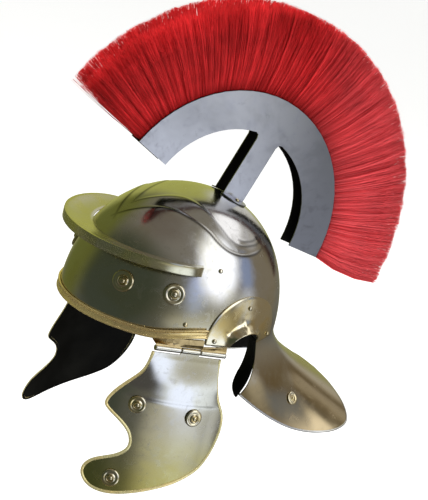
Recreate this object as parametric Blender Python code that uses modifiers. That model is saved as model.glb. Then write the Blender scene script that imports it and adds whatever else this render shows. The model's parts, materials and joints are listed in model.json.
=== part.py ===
"""Roman legionary helmet: steel bowl with neck guard, brow peak, brass band and ear
guards, hinged cheek pieces, and a riveted crest holder with a brush of red bristles.

Metres, +Z up, the face looks along -Y, the wearer's left is +X. The origin is the
centre of the bowl's rim plane, where a head sits.
"""
import bpy
import bmesh
import math
from mathutils import Matrix, Vector

MM = 0.001

# Sheet and clearances
SHEET = 1.3 * MM
TRIM_SHEET = 1.0 * MM
GAP = 0.35 * MM

# Bowl
BOWL_HALF_WIDTH = 103 * MM
BOWL_HALF_LENGTH = 120 * MM
BOWL_HEIGHT = 132 * MM
BOWL_FULLNESS = 2.1
BOWL_ROWS = 13
FRONT_COLUMNS = 30
REAR_COLUMNS = 20

# Embossed brows: each row is one point of a ridge on the bowl, by its azimuth from the
# front in degrees and its height as a share of BOWL_HEIGHT.
BROW_RELIEF = 2.4 * MM
BROW_RIDGE_WIDTH = 5.5 * MM
LOWER_BROW = (
    (5, 0.700), (9, 0.770), (22, 0.850), (42, 0.870), (58, 0.850),
    (72, 0.790), (82, 0.740), (96, 0.690), (107, 0.655), (117, 0.670), (126, 0.700),
)
UPPER_BROW = (
    (3, 0.800), (12, 0.885), (28, 0.930), (55, 0.915), (76, 0.850),
    (92, 0.775), (106, 0.750), (116, 0.740), (125, 0.755),
)

# Nape and neck guard
SKIRT_AZIMUTH = 65.0
SKIRT_ROWS = 7
NAPE_DEPTH = 27 * MM
GUARD_HALF_WIDTH = 103 * MM
GUARD_REACH = 213 * MM
GUARD_DROP = 100 * MM
GUARD_SWEEP = 0.55
# Outer edge of the neck guard from the middle of the rear to the ear: shares of
# GUARD_HALF_WIDTH, GUARD_REACH and GUARD_DROP.
GUARD_EDGE = (
    (0.00, 0.00, 1.000, 0.740),
    (0.13, 0.36, 0.996, 0.760),
    (0.26, 0.70, 0.985, 0.830),
    (0.36, 0.90, 0.955, 0.920),
    (0.46, 0.985, 0.870, 0.980),
    (0.58, 1.00, 0.735, 1.000),
    (0.70, 1.00, 0.590, 0.950),
    (0.82, 0.99, 0.450, 0.835),
    (0.92, 0.975, 0.325, 0.690),
    (1.00, 0.96, 0.215, 0.540),
)

# Ear cuts
EAR_CENTRE = 36.5 * MM
EAR_HALF_WIDTH = 23 * MM
EAR_HEIGHT = 20 * MM
# Front edge of the nape below the ear: shares of EAR_HALF_WIDTH behind EAR_CENTRE
# and of GUARD_DROP below the rim.
NAPE_EDGE = (
    (1.00, 0.000), (1.17, 0.150), (1.20, 0.320), (1.02, 0.460), (0.62, 0.575), (0.35, 0.630),
)

# Ear guards
EAR_PLATE_WIDTH = 23 * MM
EAR_PLATE_CROWN = 30 * MM
EAR_FLANGE = 12 * MM
EAR_FLANGE_DROOP = 3 * MM
EAR_STATIONS = 18

# Brow peak
PEAK_HEIGHT = 78.2 * MM
PEAK_WIDTH = 32 * MM
PEAK_RISE = 7.4 * MM
PEAK_LIP = 10.2 * MM
PEAK_END_AZIMUTH = 76.5
PEAK_ROUNDING = 3
PEAK_TIP_WIDTH = 4 * MM
PEAK_STATIONS = 30

# Brow band
BAND_HEIGHT = 10 * MM
BAND_BEAD = 2.6 * MM
BAND_END_AZIMUTH = 85.0
BAND_END_LIFT = 8 * MM
BAND_RISE_START = 0.60
BAND_STEP_START = 0.56
BAND_STATIONS = 28

# Cheek hinges
HINGE_INSET = 2.5 * MM
HINGE_Y = -22.5 * MM
HINGE_DROP = 8 * MM
HINGE_YAW = 5.0
HINGE_FALL = 3.5
HINGE_LENGTH = 79 * MM
KNUCKLE_RADIUS = 2.8 * MM
PIN_RADIUS = 1.2 * MM
KNUCKLE_MIDDLE = 21 * MM
KNUCKLE_PLAY = 0.5 * MM
LEAF_RISE = 5.2 * MM
LEAF_STATIONS = 8

# Cheek pieces
CHEEK_WIDTH = 134 * MM
CHEEK_DROP = 163 * MM
CHEEK_TOP = 4.5 * MM
CHEEK_LEAN = -4.0
CHEEK_FRONT_CURL = 20 * MM
CHEEK_REAR_CURL = 10.8 * MM
CHEEK_FLARE = 10.6 * MM
CHEEK_FLAT = 50 * MM
CHEEK_TRIM = 4.0 * MM
CHEEK_CELL = 14 * MM
# Outline from the front end of the hinge round to its rear end: shares of CHEEK_WIDTH
# behind the hinge's middle and of CHEEK_DROP below the hinge.
CHEEK_OUTLINE = (
    (-0.312, 0.028), (-0.313, 0.122), (-0.337, 0.197), (-0.421, 0.303), (-0.475, 0.380),
    (-0.492, 0.452), (-0.415, 0.504), (-0.308, 0.573), (-0.273, 0.650), (-0.303, 0.702),
    (-0.375, 0.746), (-0.496, 0.802), (-0.548, 0.888), (-0.497, 0.970), (-0.370, 0.997),
    (-0.179, 0.961), (0.078, 0.886), (0.195, 0.842), (0.312, 0.781), (0.381, 0.708),
    (0.428, 0.622), (0.456, 0.520), (0.452, 0.434), (0.419, 0.366), (0.364, 0.299),
    (0.313, 0.198), (0.282, 0.097), (0.274, 0.028),
)

# Bosses, rivets
CHEEK_BOSS_RADIUS = 9 * MM
BOWL_BOSS_RADIUS = 11 * MM
GUARD_BOSS_RADIUS = 7 * MM
BOSS_HEIGHT_SHARE = 0.42
BOSS_SIDES = 8
RIVET_RADIUS = 2.4 * MM
RIVET_HEIGHT = 1.5 * MM
RIVET_SIDES = 7
# Cheek bosses: shares of CHEEK_WIDTH and CHEEK_DROP.
CHEEK_BOSSES = ((-0.279, 0.396), (0.172, 0.426), (-0.341, 0.886))
# Bowl bosses: azimuth in degrees, share of BOWL_HEIGHT.
BOWL_BOSSES = ((36, 0.355), (64, 0.360))
BAND_RIVET = (73, 0.150)
EAR_RIVET_ANGLES = (9.0, 90.0, 171.0)
PEAK_RIVET_AZIMUTH = 88
PEAK_RIVET_DROP = 0.03
GUARD_BOSS_PLACE = 0.60
GUARD_BOSS_SHARE = 0.72

# Crest holder
CREST_LEAN = 20.5
CREST_CENTRE_Y = 32.3 * MM
CREST_CENTRE_Z = 104.2 * MM
CREST_OUTER = 136.7 * MM
CREST_INNER = 95.8 * MM
CREST_FRONT_ANGLE = -79.0
CREST_REAR_ANGLE = 86.0
CREST_SPREAD = 19 * MM
CREST_SHEET = 1.2 * MM
STRUT_OFFSET = -1.7 * MM
STRUT_HALF_WIDTH = 13.6 * MM
STRUT_FILLET = 5 * MM
FOOT_RADIUS = 15 * MM
FOOT_OUT = 4 * MM
ARC_STATIONS = 26

# Brush of bristles
BLOCK_DEPTH = 17 * MM
BLOCK_TOP = 9 * MM
PLUME_RADIUS = 229 * MM
PLUME_SPREAD = 40 * MM
PLUME_LOCKS = 20
PLUME_GROOVE = 0.88

COLOURS = {
    "steel": ((0.62, 0.61, 0.57), 0.22, 1.0),
    "brass": ((0.74, 0.58, 0.27), 0.28, 1.0),
    "grey_steel": ((0.42, 0.43, 0.45), 0.42, 1.0),
    "black_wood": ((0.02, 0.02, 0.02), 0.70, 0.0),
    "red_bristle": ((0.45, 0.01, 0.02), 0.75, 0.0),
}

# Scene and tools


def clear_scene():
    for obj in list(bpy.data.objects):
        bpy.data.objects.remove(obj, do_unlink=True)


def new_collection(name):
    collection = bpy.data.collections.new(name)
    bpy.context.scene.collection.children.link(collection)
    return collection


def make_materials():
    made = {}
    for name, (colour, roughness, metallic) in COLOURS.items():
        material = bpy.data.materials.new(name)
        material.use_nodes = True
        shader = material.node_tree.nodes["Principled BSDF"]
        shader.inputs["Base Color"].default_value = (*colour, 1.0)
        shader.inputs["Roughness"].default_value = roughness
        shader.inputs["Metallic"].default_value = metallic
        material.diffuse_color = (*colour, 1.0)
        made[name] = material
    return made


def object_from_bmesh(name, bm, collection, material=None, smooth=True):
    bmesh.ops.recalc_face_normals(bm, faces=bm.faces)
    mesh = bpy.data.meshes.new(name)
    bm.to_mesh(mesh)
    bm.free()
    if smooth:
        mesh.shade_smooth()
        mesh.set_sharp_from_angle(angle=math.radians(35))
    if material:
        mesh.materials.append(material)
    obj = bpy.data.objects.new(name, mesh)
    collection.objects.link(obj)
    return obj


def loft_solid(name, sections, collection, material, closed=False):
    """Solid through closed sections that all have the same number of points."""
    bm = bmesh.new()
    rings = [[bm.verts.new(point) for point in section] for section in sections]
    count = len(rings[0])
    spans = len(rings) if closed else len(rings) - 1
    for i in range(spans):
        first = rings[i]
        second = rings[(i + 1) % len(rings)]
        for j in range(count):
            k = (j + 1) % count
            bm.faces.new((first[j], first[k], second[k], second[j]))
    if not closed:
        bm.faces.new(list(reversed(rings[0])))
        bm.faces.new(rings[-1])
    bm.normal_update()
    bmesh.ops.triangulate(bm, faces=[f for f in bm.faces if len(f.verts) > 4])
    return object_from_bmesh(name, bm, collection, material)


def boolean(obj, other, operation, solver="EXACT"):
    modifier = obj.modifiers.new(operation.title(), "BOOLEAN")
    modifier.operation = operation
    modifier.solver = solver
    modifier.object = other


def apply_modifiers(obj):
    depsgraph = bpy.context.evaluated_depsgraph_get()
    mesh = bpy.data.meshes.new_from_object(obj.evaluated_get(depsgraph))
    obj.modifiers.clear()
    old = obj.data
    obj.data = mesh
    bpy.data.meshes.remove(old)


def consume(obj, other, operation, solver="EXACT"):
    """Boolean with an object that isn't needed afterwards."""
    boolean(obj, other, operation, solver)
    apply_modifiers(obj)
    bpy.data.objects.remove(other, do_unlink=True)


def as_cutter(obj):
    obj.hide_render = True
    obj.display_type = "WIRE"
    return obj


def catmull(points, per_span):
    """Smooth open line through the points."""
    vectors = [Vector(p) for p in points]
    line = []
    last = len(vectors) - 1
    for i in range(last):
        p0 = vectors[max(i - 1, 0)]
        p1 = vectors[i]
        p2 = vectors[i + 1]
        p3 = vectors[min(i + 2, last)]
        for step in range(per_span):
            t = step / per_span
            line.append(0.5 * ((2 * p1) + (p2 - p0) * t + (2 * p0 - 5 * p1 + 4 * p2 - p3) * t * t
                               + (3 * p1 - p0 - 3 * p2 + p3) * t * t * t))
    line.append(vectors[-1])
    return line


def table_value(table, place, column):
    """Smooth reading of one column of a table whose first column is the place."""
    for i in range(len(table) - 1):
        if place <= table[i + 1][0]:
            break
    x1, x2 = table[i][0], table[i + 1][0]
    y1, y2 = table[i][column], table[i + 1][column]
    low = table[max(i - 1, 0)]
    high = table[min(i + 2, len(table) - 1)]
    slope1 = (y2 - low[column]) / (x2 - low[0])
    slope2 = (high[column] - y1) / (high[0] - x1)
    span = x2 - x1
    t = (place - x1) / span
    return ((2 * t ** 3 - 3 * t ** 2 + 1) * y1 + (t ** 3 - 2 * t ** 2 + t) * span * slope1
            + (3 * t ** 2 - 2 * t ** 3) * y2 + (t ** 3 - t ** 2) * span * slope2)


def ease(share):
    """Smooth step from 0 to 1."""
    t = min(max(share, 0.0), 1.0)
    return t * t * (3.0 - 2.0 * t)


def inset_line(points, distance):
    """Open 2D line moved to its left by the distance."""
    moved = []
    last = len(points) - 1
    for i, point in enumerate(points):
        ahead = points[min(i + 1, last)]
        behind = points[max(i - 1, 0)]
        run = (ahead - behind).normalized()
        moved.append(Vector((point.x - run.y * distance, point.y + run.x * distance)))
    return moved


# Bowl form


def bowl_share(height_share):
    """Width of the bowl at a height, as a share of its width at the rim."""
    level = min(max(height_share, 0.0), 1.0)
    return (1.0 - level ** BOWL_FULLNESS) ** (1.0 / BOWL_FULLNESS)


def bowl_point(azimuth, height_share, grow=0.0):
    """Point on the bowl by its azimuth from the front (degrees) and height share."""
    angle = math.radians(azimuth)
    share = bowl_share(height_share)
    point = Vector((BOWL_HALF_WIDTH * share * math.sin(angle),
                    -BOWL_HALF_LENGTH * share * math.cos(angle),
                    BOWL_HEIGHT * height_share))
    return point + bowl_normal(point) * grow


def bowl_normal(point):
    across = Vector((point.x / BOWL_HALF_WIDTH, point.y / BOWL_HALF_LENGTH))
    radius = max(across.length, 1e-6)
    rise = max(point.z, 0.0) / BOWL_HEIGHT
    bend = radius ** (BOWL_FULLNESS - 2.0)
    return Vector((bend * point.x / BOWL_HALF_WIDTH ** 2,
                   bend * point.y / BOWL_HALF_LENGTH ** 2,
                   rise ** (BOWL_FULLNESS - 1.0) / BOWL_HEIGHT)).normalized()


def bowl_side(y, z, grow=0.0, side=1):
    """Point on the bowl's side by its height and its place along the helmet."""
    share = bowl_share(z / BOWL_HEIGHT)
    ratio = min(abs(y) / (BOWL_HALF_LENGTH * share), 0.999)
    point = Vector((BOWL_HALF_WIDTH * share * math.sqrt(1.0 - ratio * ratio), y, z))
    point = point + bowl_normal(point) * grow
    point.x *= side
    return point


def bowl_crown(x, y, grow=0.0):
    """Point on the bowl's upper side by its place in plan."""
    radius = math.hypot(x / BOWL_HALF_WIDTH, y / BOWL_HALF_LENGTH)
    rise = (1.0 - radius ** BOWL_FULLNESS) ** (1.0 / BOWL_FULLNESS)
    point = Vector((x, y, BOWL_HEIGHT * rise))
    return point + bowl_normal(point) * grow


def brow_lines():
    lines = []
    for table in (LOWER_BROW, UPPER_BROW):
        for side in (1, -1):
            spots = [bowl_point(side * azimuth, height) for azimuth, height in table]
            lines.append(catmull(spots, 4))
    return lines


def brow_relief(point, lines):
    """Height of the embossed brows at a point on the bowl."""
    raised = 0.0
    for line in lines:
        last = len(line) - 1
        for i, spot in enumerate(line):
            ends = min(i, last - i) / (0.12 * last)
            fade = min(1.0, 0.25 + ends)
            near = math.exp(-((point - spot).length / BROW_RIDGE_WIDTH) ** 2)
            raised = max(raised, near * fade)
    return BROW_RELIEF * raised


def guard_edge_point(place):
    """Outer edge of the nape and neck guard; place runs from -1 to 1, ear to ear."""
    side = 1 if place >= 0 else -1
    share = min(abs(place), 1.0)
    return Vector((side * GUARD_HALF_WIDTH * table_value(GUARD_EDGE, share, 1),
                   GUARD_REACH * table_value(GUARD_EDGE, share, 2),
                   -GUARD_DROP * table_value(GUARD_EDGE, share, 3)))


def skirt_point(place, run):
    """Point on the nape and neck guard: run goes from the bowl's rim to the edge."""
    top = bowl_point(180.0 - place * SKIRT_AZIMUTH, 0.0)
    edge = guard_edge_point(place)
    lower = Vector((top.x, top.y, -NAPE_DEPTH))
    outer = edge.lerp(lower, GUARD_SWEEP)
    a = top.lerp(lower, run)
    b = lower.lerp(outer, run)
    c = outer.lerp(edge, run)
    return a.lerp(b, run).lerp(b.lerp(c, run), run)


def skirt_normal(place, run):
    along = skirt_point(place + 0.01, run) - skirt_point(place - 0.01, run)
    down = skirt_point(place, run + 0.01) - skirt_point(place, run - 0.01)
    return down.cross(along).normalized()


# Pieces


def make_skull(collection, cutters, material):
    """Bowl, nape and neck guard: one sheet, raised from an open surface."""
    azimuths = []
    for i in range(FRONT_COLUMNS):
        azimuths.append(-(180.0 - SKIRT_AZIMUTH) + i * 2.0 * (180.0 - SKIRT_AZIMUTH) / FRONT_COLUMNS)
    for i in range(REAR_COLUMNS):
        azimuths.append(180.0 - SKIRT_AZIMUTH + i * 2.0 * SKIRT_AZIMUTH / REAR_COLUMNS)
    lines = brow_lines()
    bm = bmesh.new()
    rows = []
    for r in range(BOWL_ROWS):
        lift = math.sin(0.5 * math.pi * r / BOWL_ROWS) ** (2.0 / BOWL_FULLNESS)
        row = []
        for azimuth in azimuths:
            point = bowl_point(azimuth, lift)
            if r > 0:
                point = point + bowl_normal(point) * brow_relief(point, lines)
            row.append(bm.verts.new(point))
        rows.append(row)
    crown = bm.verts.new(Vector((0.0, 0.0, BOWL_HEIGHT)))
    total = len(azimuths)
    for low, high in zip(rows, rows[1:]):
        for j in range(total):
            k = (j + 1) % total
            bm.faces.new((low[j], low[k], high[k], high[j]))
    for j in range(total):
        bm.faces.new((rows[-1][j], rows[-1][(j + 1) % total], crown))
    rim = rows[0][FRONT_COLUMNS:] + [rows[0][0]]
    previous = rim
    for r in range(1, SKIRT_ROWS + 1):
        row = []
        for i in range(REAR_COLUMNS + 1):
            place = 1.0 - 2.0 * i / REAR_COLUMNS
            row.append(bm.verts.new(skirt_point(place, r / SKIRT_ROWS)))
        for i in range(REAR_COLUMNS):
            bm.faces.new((row[i], row[i + 1], previous[i + 1], previous[i]))
        previous = row
    skull = object_from_bmesh("skull", bm, collection, material)
    if skull.data.polygons[0].normal.dot(skull.data.polygons[0].center) < 0:
        skull.data.flip_normals()
    shell = skull.modifiers.new("Sheet", "SOLIDIFY")
    shell.thickness = SHEET
    shell.offset = -1.0
    shell.use_even_offset = True
    boolean(skull, make_ear_cutter(cutters), "DIFFERENCE")
    return skull


def ear_profile():
    """Outline of the ear cut and of the nape's front edge, in the helmet's side view."""
    outline = []
    steps = 12
    for i in range(steps + 1):
        angle = math.pi * i / steps
        outline.append((EAR_CENTRE - EAR_HALF_WIDTH * math.cos(angle), EAR_HEIGHT * math.sin(angle)))
    edge = [(EAR_CENTRE + EAR_HALF_WIDTH * back, -GUARD_DROP * down) for back, down in NAPE_EDGE]
    smooth = catmull([(*p, 0.0) for p in edge], 3)
    outline += [(p.x, p.y) for p in smooth[1:]]
    bottom = -GUARD_DROP * 1.1
    outline.append((outline[-1][0], bottom))
    outline.append((EAR_CENTRE - EAR_HALF_WIDTH, bottom))
    return outline


def make_ear_cutter(cutters):
    half = 1.4 * BOWL_HALF_WIDTH
    sections = [[(x, y, z) for y, z in ear_profile()] for x in (-half, half)]
    return as_cutter(loft_solid("ear_cutter", sections, cutters, None))


def ear_arch(angle, radius_y, radius_z):
    return (EAR_CENTRE - radius_y * math.cos(angle), radius_z * math.sin(angle))


def make_ear_guard(name, side, collection, material):
    """Brass plate round the ear cut, with a flange that stands out over the ear."""
    sections = []
    start = math.radians(1.0)
    for i in range(EAR_STATIONS + 1):
        angle = start + (math.pi - 2.0 * start) * i / EAR_STATIONS
        arch = math.sin(angle)
        inner_y = EAR_HALF_WIDTH + GAP
        inner_z = EAR_HEIGHT + GAP
        wide = EAR_PLATE_WIDTH + (EAR_PLATE_CROWN - EAR_PLATE_WIDTH) * arch
        seat = 2.0 * GAP
        y1, z1 = ear_arch(angle, inner_y + TRIM_SHEET, inner_z + TRIM_SHEET)
        y2, z2 = ear_arch(angle, inner_y + 0.55 * wide, inner_z + 0.55 * wide)
        y3, z3 = ear_arch(angle, inner_y + wide, inner_z + wide)
        lip_y, lip_z = ear_arch(angle, inner_y - EAR_FLANGE_DROOP, inner_z - EAR_FLANGE_DROOP)
        top_y, top_z = ear_arch(angle, inner_y + 2.0 * TRIM_SHEET, inner_z + 2.0 * TRIM_SHEET)
        low1 = bowl_side(y1, z1, seat)
        low2 = bowl_side(y2, z2, seat)
        low3 = bowl_side(y3, z3, seat)
        high3 = bowl_side(y3, z3, seat + TRIM_SHEET)
        high2 = bowl_side(y2, z2, seat + TRIM_SHEET)
        high1 = bowl_side(top_y, top_z, seat + TRIM_SHEET)
        reach = EAR_FLANGE * (0.35 + 0.65 * arch)
        lip = bowl_side(y1, z1, seat)
        tip_out = Vector((lip.x + reach, lip_y, lip_z))
        tip_in = Vector((tip_out.x, *ear_arch(angle, inner_y - EAR_FLANGE_DROOP - TRIM_SHEET,
                                              inner_z - EAR_FLANGE_DROOP - TRIM_SHEET)))
        section = [low1, low2, low3, high3, high2, high1, tip_out, tip_in]
        sections.append([Vector((side * p.x, p.y, p.z)) for p in section])
    return loft_solid(name, sections, collection, material)


def make_peak(collection, material):
    """Crescent plate over the brow, with its edge turned down."""
    sections = []
    low_share = (PEAK_HEIGHT - SHEET) / BOWL_HEIGHT
    for i in range(PEAK_STATIONS + 1):
        swing = -1.0 + 2.0 * i / PEAK_STATIONS
        azimuth = PEAK_END_AZIMUTH * math.sin(0.5 * math.pi * swing)
        taper = (1.0 - min(abs(azimuth) / PEAK_END_AZIMUTH, 1.0) ** PEAK_ROUNDING) ** 0.5
        width = PEAK_TIP_WIDTH + (PEAK_WIDTH - PEAK_TIP_WIDTH) * taper
        root = bowl_point(azimuth, low_share)
        out = Vector((root.x / BOWL_HALF_WIDTH ** 2, root.y / BOWL_HALF_LENGTH ** 2, 0.0)).normalized()
        root = root + out * 3.0 * GAP
        rise = PEAK_RISE * taper

        def at(share, depth, inward=0.0):
            lift = rise * share ** 1.5
            return Vector((root.x, root.y, PEAK_HEIGHT)) + out * (width * share - inward) \
                + Vector((0.0, 0.0, lift - depth))
        sections.append([
            at(0.0, 0.0), at(0.5, 0.0), at(1.0, 0.0), at(1.0, PEAK_LIP),
            at(1.0, PEAK_LIP, SHEET), at(1.0, SHEET, SHEET), at(0.5, SHEET), at(0.0, SHEET),
        ])
    return loft_solid("brow_peak", sections, collection, material)


def make_band(collection, material):
    """Beaded brass strip along the rim, from temple to temple."""
    bead = BAND_BEAD
    flat = 0.45 * BAND_BEAD
    profile = (
        (0.0, 0.04), (0.75 * bead, 0.04), (bead, 0.14), (0.75 * bead, 0.24), (flat, 0.30),
        (flat, 0.70), (0.75 * bead, 0.76), (bead, 0.86), (0.75 * bead, 0.96), (0.0, 0.96),
    )
    sections = []
    for i in range(BAND_STATIONS + 1):
        azimuth = BAND_END_AZIMUTH * (-1.0 + 2.0 * i / BAND_STATIONS)
        share_out = abs(azimuth) / BAND_END_AZIMUTH
        base = BAND_END_LIFT * ease((share_out - BAND_RISE_START) / (1.0 - BAND_RISE_START))
        seat = 2.0 * GAP + (TRIM_SHEET + GAP) * ease((share_out - BAND_STEP_START) / 0.06)
        section = []
        for out, share in profile:
            height = base + BAND_HEIGHT * share
            section.append(bowl_point(azimuth, height / BOWL_HEIGHT, seat + out))
        sections.append(section)
    return loft_solid("brow_band", sections, collection, material)


# Hinges


def hinge_frame(side):
    """Matrix of a hinge: X along the pin to the rear, Y down the cheek, Z outwards."""
    yaw = math.radians(HINGE_YAW)
    fall = math.radians(HINGE_FALL)
    along = Vector((side * math.sin(yaw) * math.cos(fall), math.cos(yaw) * math.cos(fall), -math.sin(fall)))
    out = Vector((side * math.cos(yaw), -math.sin(yaw), 0.0)).normalized()
    down = (Vector((0, 0, -1)) - along * Vector((0, 0, -1)).dot(along)).normalized()
    out = (out - along * out.dot(along) - down * out.dot(down)).normalized()
    origin = Vector((side * (BOWL_HALF_WIDTH - HINGE_INSET), HINGE_Y, -HINGE_DROP))
    frame = Matrix((along, down, out)).transposed().to_4x4()
    frame.translation = origin
    return frame


def place_cylinder(name, frame, start, end, radius, sides, collection, material):
    """Round bar on a hinge's pin line."""
    bm = bmesh.new()
    bmesh.ops.create_cone(bm, cap_ends=True, segments=sides, radius1=radius, radius2=radius,
                          depth=end - start)
    turn = Matrix.Rotation(math.pi / 2, 4, "Y")
    bmesh.ops.transform(bm, matrix=Matrix.Translation(((start + end) / 2, 0, 0)) @ turn, verts=bm.verts)
    bmesh.ops.transform(bm, matrix=frame, verts=bm.verts)
    return object_from_bmesh(name, bm, collection, material)


def knuckle_spans():
    """Front, middle and rear knuckles along the pin."""
    half = HINGE_LENGTH / 2
    middle = KNUCKLE_MIDDLE / 2
    return ((-half, -middle - KNUCKLE_PLAY), (-middle, middle), (middle + KNUCKLE_PLAY, half))


def make_upper_leaf(name, side, collection, cutters, material):
    """Strip riveted inside the band, rolled round the pin at its two outer knuckles."""
    frame = hinge_frame(side)
    half = HINGE_LENGTH / 2
    foot = KNUCKLE_RADIUS + 2.0 * GAP
    ear_plate_front = EAR_CENTRE - EAR_HALF_WIDTH - EAR_PLATE_WIDTH - 3.0 * GAP
    step_u = (ear_plate_front - HINGE_Y) / math.cos(math.radians(HINGE_YAW)) - MM
    stations = [(-half + (step_u + half) * i / LEAF_STATIONS, True) for i in range(LEAF_STATIONS + 1)]
    rear_count = max(2, LEAF_STATIONS // 3)
    stations += [(step_u + GAP + (half - step_u - GAP) * i / rear_count, False)
                 for i in range(rear_count + 1)]
    sections = []
    for u, on_bowl in stations:
        axis = frame @ Vector((u, 0.0, 0.0))
        top_height = LEAF_RISE if on_bowl else -3.0 * GAP
        rim_height = 0.0 if on_bowl else -6.0 * GAP
        top = bowl_side(axis.y, top_height, 2.0 * GAP, side)
        top_out = bowl_side(axis.y, top_height, 2.0 * GAP + TRIM_SHEET, side)
        middle = bowl_side(axis.y, rim_height, 2.0 * GAP, side)
        middle_out = bowl_side(axis.y, rim_height, 2.0 * GAP + TRIM_SHEET, side)
        low_in = frame @ Vector((u, -foot, -0.5 * TRIM_SHEET))
        low_out = frame @ Vector((u, -foot, 0.5 * TRIM_SHEET))
        sections.append([top, middle, low_in, low_out, middle_out, top_out])
    leaf = loft_solid(name, sections, collection, material)
    front, _, rear = knuckle_spans()
    for number, (start, end) in enumerate((front, rear)):
        barrel = place_cylinder("barrel", frame, start, end, KNUCKLE_RADIUS, 12, cutters, None)
        web = [[frame @ Vector((u, y, z)) for y, z in
                ((-foot - MM, -0.6 * TRIM_SHEET), (-0.5 * KNUCKLE_RADIUS, -0.6 * TRIM_SHEET),
                 (-0.5 * KNUCKLE_RADIUS, 0.6 * TRIM_SHEET), (-foot - MM, 0.6 * TRIM_SHEET))]
               for u in (start, end)]
        joined = loft_solid("web", web, cutters, None)
        consume(barrel, joined, "UNION", "MANIFOLD")
        consume(leaf, barrel, "UNION", "MANIFOLD")
    bore = place_cylinder("bore", frame, -half - MM, half + MM, PIN_RADIUS + GAP, 10, cutters, None)
    consume(leaf, bore, "DIFFERENCE", "MANIFOLD")
    return leaf


def cheek_curl(u, v):
    """How far the cheek piece bends inwards at a place below its hinge."""
    half = CHEEK_WIDTH / 2
    middle = 0.15 * half
    front = max(0.0, middle - u) / half
    rear = max(0.0, u - middle) / half
    flare = CHEEK_FLARE * (v / CHEEK_DROP) ** 2
    return (flare - CHEEK_FRONT_CURL * front * front - CHEEK_REAR_CURL * rear * rear) * ease(v / CHEEK_FLAT)


def cheek_matrix(side):
    """Hinge frame turned about the pin by the cheek piece's lean inwards."""
    return hinge_frame(side) @ Matrix.Rotation(-math.radians(CHEEK_LEAN), 4, "X")


def cheek_place(side, u, v, out=0.0):
    return cheek_matrix(side) @ Vector((u, v, cheek_curl(u, v) + out))


def cheek_outline(inset):
    """Outline of the cheek piece in its own plane, moved inwards."""
    spots = [(CHEEK_WIDTH * along, CHEEK_DROP * down, 0.0) for along, down in CHEEK_OUTLINE]
    line = [Vector((p.x, p.y)) for p in catmull(spots, 2)]
    return inset_line(line, -inset)


def make_cheek_plate(name, side, collection, cutters, material):
    """Curved cheek plate with the middle knuckle of its hinge."""
    line = cheek_outline(CHEEK_TRIM + GAP)
    tongue = KNUCKLE_MIDDLE / 2
    outline = [(p.x, p.y) for p in line]
    outline[0] = (outline[0][0], CHEEK_TOP)
    outline[-1] = (outline[-1][0], CHEEK_TOP)
    outline += [(tongue, CHEEK_TOP), (tongue, 0.4 * KNUCKLE_RADIUS),
                (-tongue, 0.4 * KNUCKLE_RADIUS), (-tongue, CHEEK_TOP)]
    prism = loft_solid("prism", [[(x, y, z) for x, y in outline] for z in (-SHEET * 3, SHEET * 3)],
                       cutters, None)
    span = 1.2 * CHEEK_WIDTH
    drop = 1.1 * CHEEK_DROP
    bm = bmesh.new()
    bmesh.ops.create_grid(bm, x_segments=max(4, round(span / CHEEK_CELL)),
                          y_segments=max(4, round(drop / CHEEK_CELL)), size=0.5)
    for vert in bm.verts:
        vert.co = Vector((vert.co.x * span + 0.137 * CHEEK_CELL,
                          (vert.co.y + 0.5) * drop - 0.04 * CHEEK_DROP, -SHEET / 2))
    lower = bm.faces[:]
    extruded = bmesh.ops.extrude_face_region(bm, geom=lower)
    moved = [g for g in extruded["geom"] if isinstance(g, bmesh.types.BMVert)]
    bmesh.ops.translate(bm, verts=moved, vec=(0, 0, SHEET))
    plate = object_from_bmesh(name, bm, collection, material)
    consume(plate, prism, "INTERSECT")
    frame = cheek_matrix(side)
    for vert in plate.data.vertices:
        u, v, out = vert.co
        vert.co = frame @ Vector((u, v, cheek_curl(u, v) + out))
    if side < 0:
        plate.data.flip_normals()
    start, end = knuckle_spans()[1]
    barrel = place_cylinder("barrel", hinge_frame(side), start, end, KNUCKLE_RADIUS, 12, cutters, None)
    consume(plate, barrel, "UNION")
    bore = place_cylinder("bore", hinge_frame(side), start - MM, end + MM, PIN_RADIUS + GAP, 10,
                          cutters, None)
    consume(plate, bore, "DIFFERENCE")
    plate.data.shade_smooth()
    plate.data.set_sharp_from_angle(angle=math.radians(35))
    if not plate.data.materials:
        plate.data.materials.append(material)
    return plate


def make_cheek_trim(name, side, collection, material):
    """Brass bead along the cheek plate's edge, from one end of the hinge to the other."""
    line = cheek_outline(CHEEK_TRIM / 2)
    points = [cheek_place(side, p.x, max(p.y, CHEEK_TOP)) for p in line]
    curve = bpy.data.curves.new(name, "CURVE")
    curve.dimensions = "3D"
    curve.bevel_depth = CHEEK_TRIM / 2
    curve.bevel_resolution = 1
    curve.use_fill_caps = True
    spline = curve.splines.new("POLY")
    spline.points.add(len(points) - 1)
    for spot, point in zip(spline.points, points):
        spot.co = (*point, 1.0)
    tube = bpy.data.objects.new(name, curve)
    collection.objects.link(tube)
    return curve_to_mesh(tube, collection, material)


def curve_to_mesh(tube, collection, material):
    depsgraph = bpy.context.evaluated_depsgraph_get()
    mesh = bpy.data.meshes.new_from_object(tube.evaluated_get(depsgraph))
    name = tube.name
    matrix = tube.matrix_world.copy()
    bpy.data.objects.remove(tube, do_unlink=True)
    bm = bmesh.new()
    bm.from_mesh(mesh)
    bpy.data.meshes.remove(mesh)
    bmesh.ops.remove_doubles(bm, verts=bm.verts, dist=0.00001)
    obj = object_from_bmesh(name, bm, collection, material)
    obj.matrix_world = matrix
    return obj


# Bosses and rivets


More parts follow.
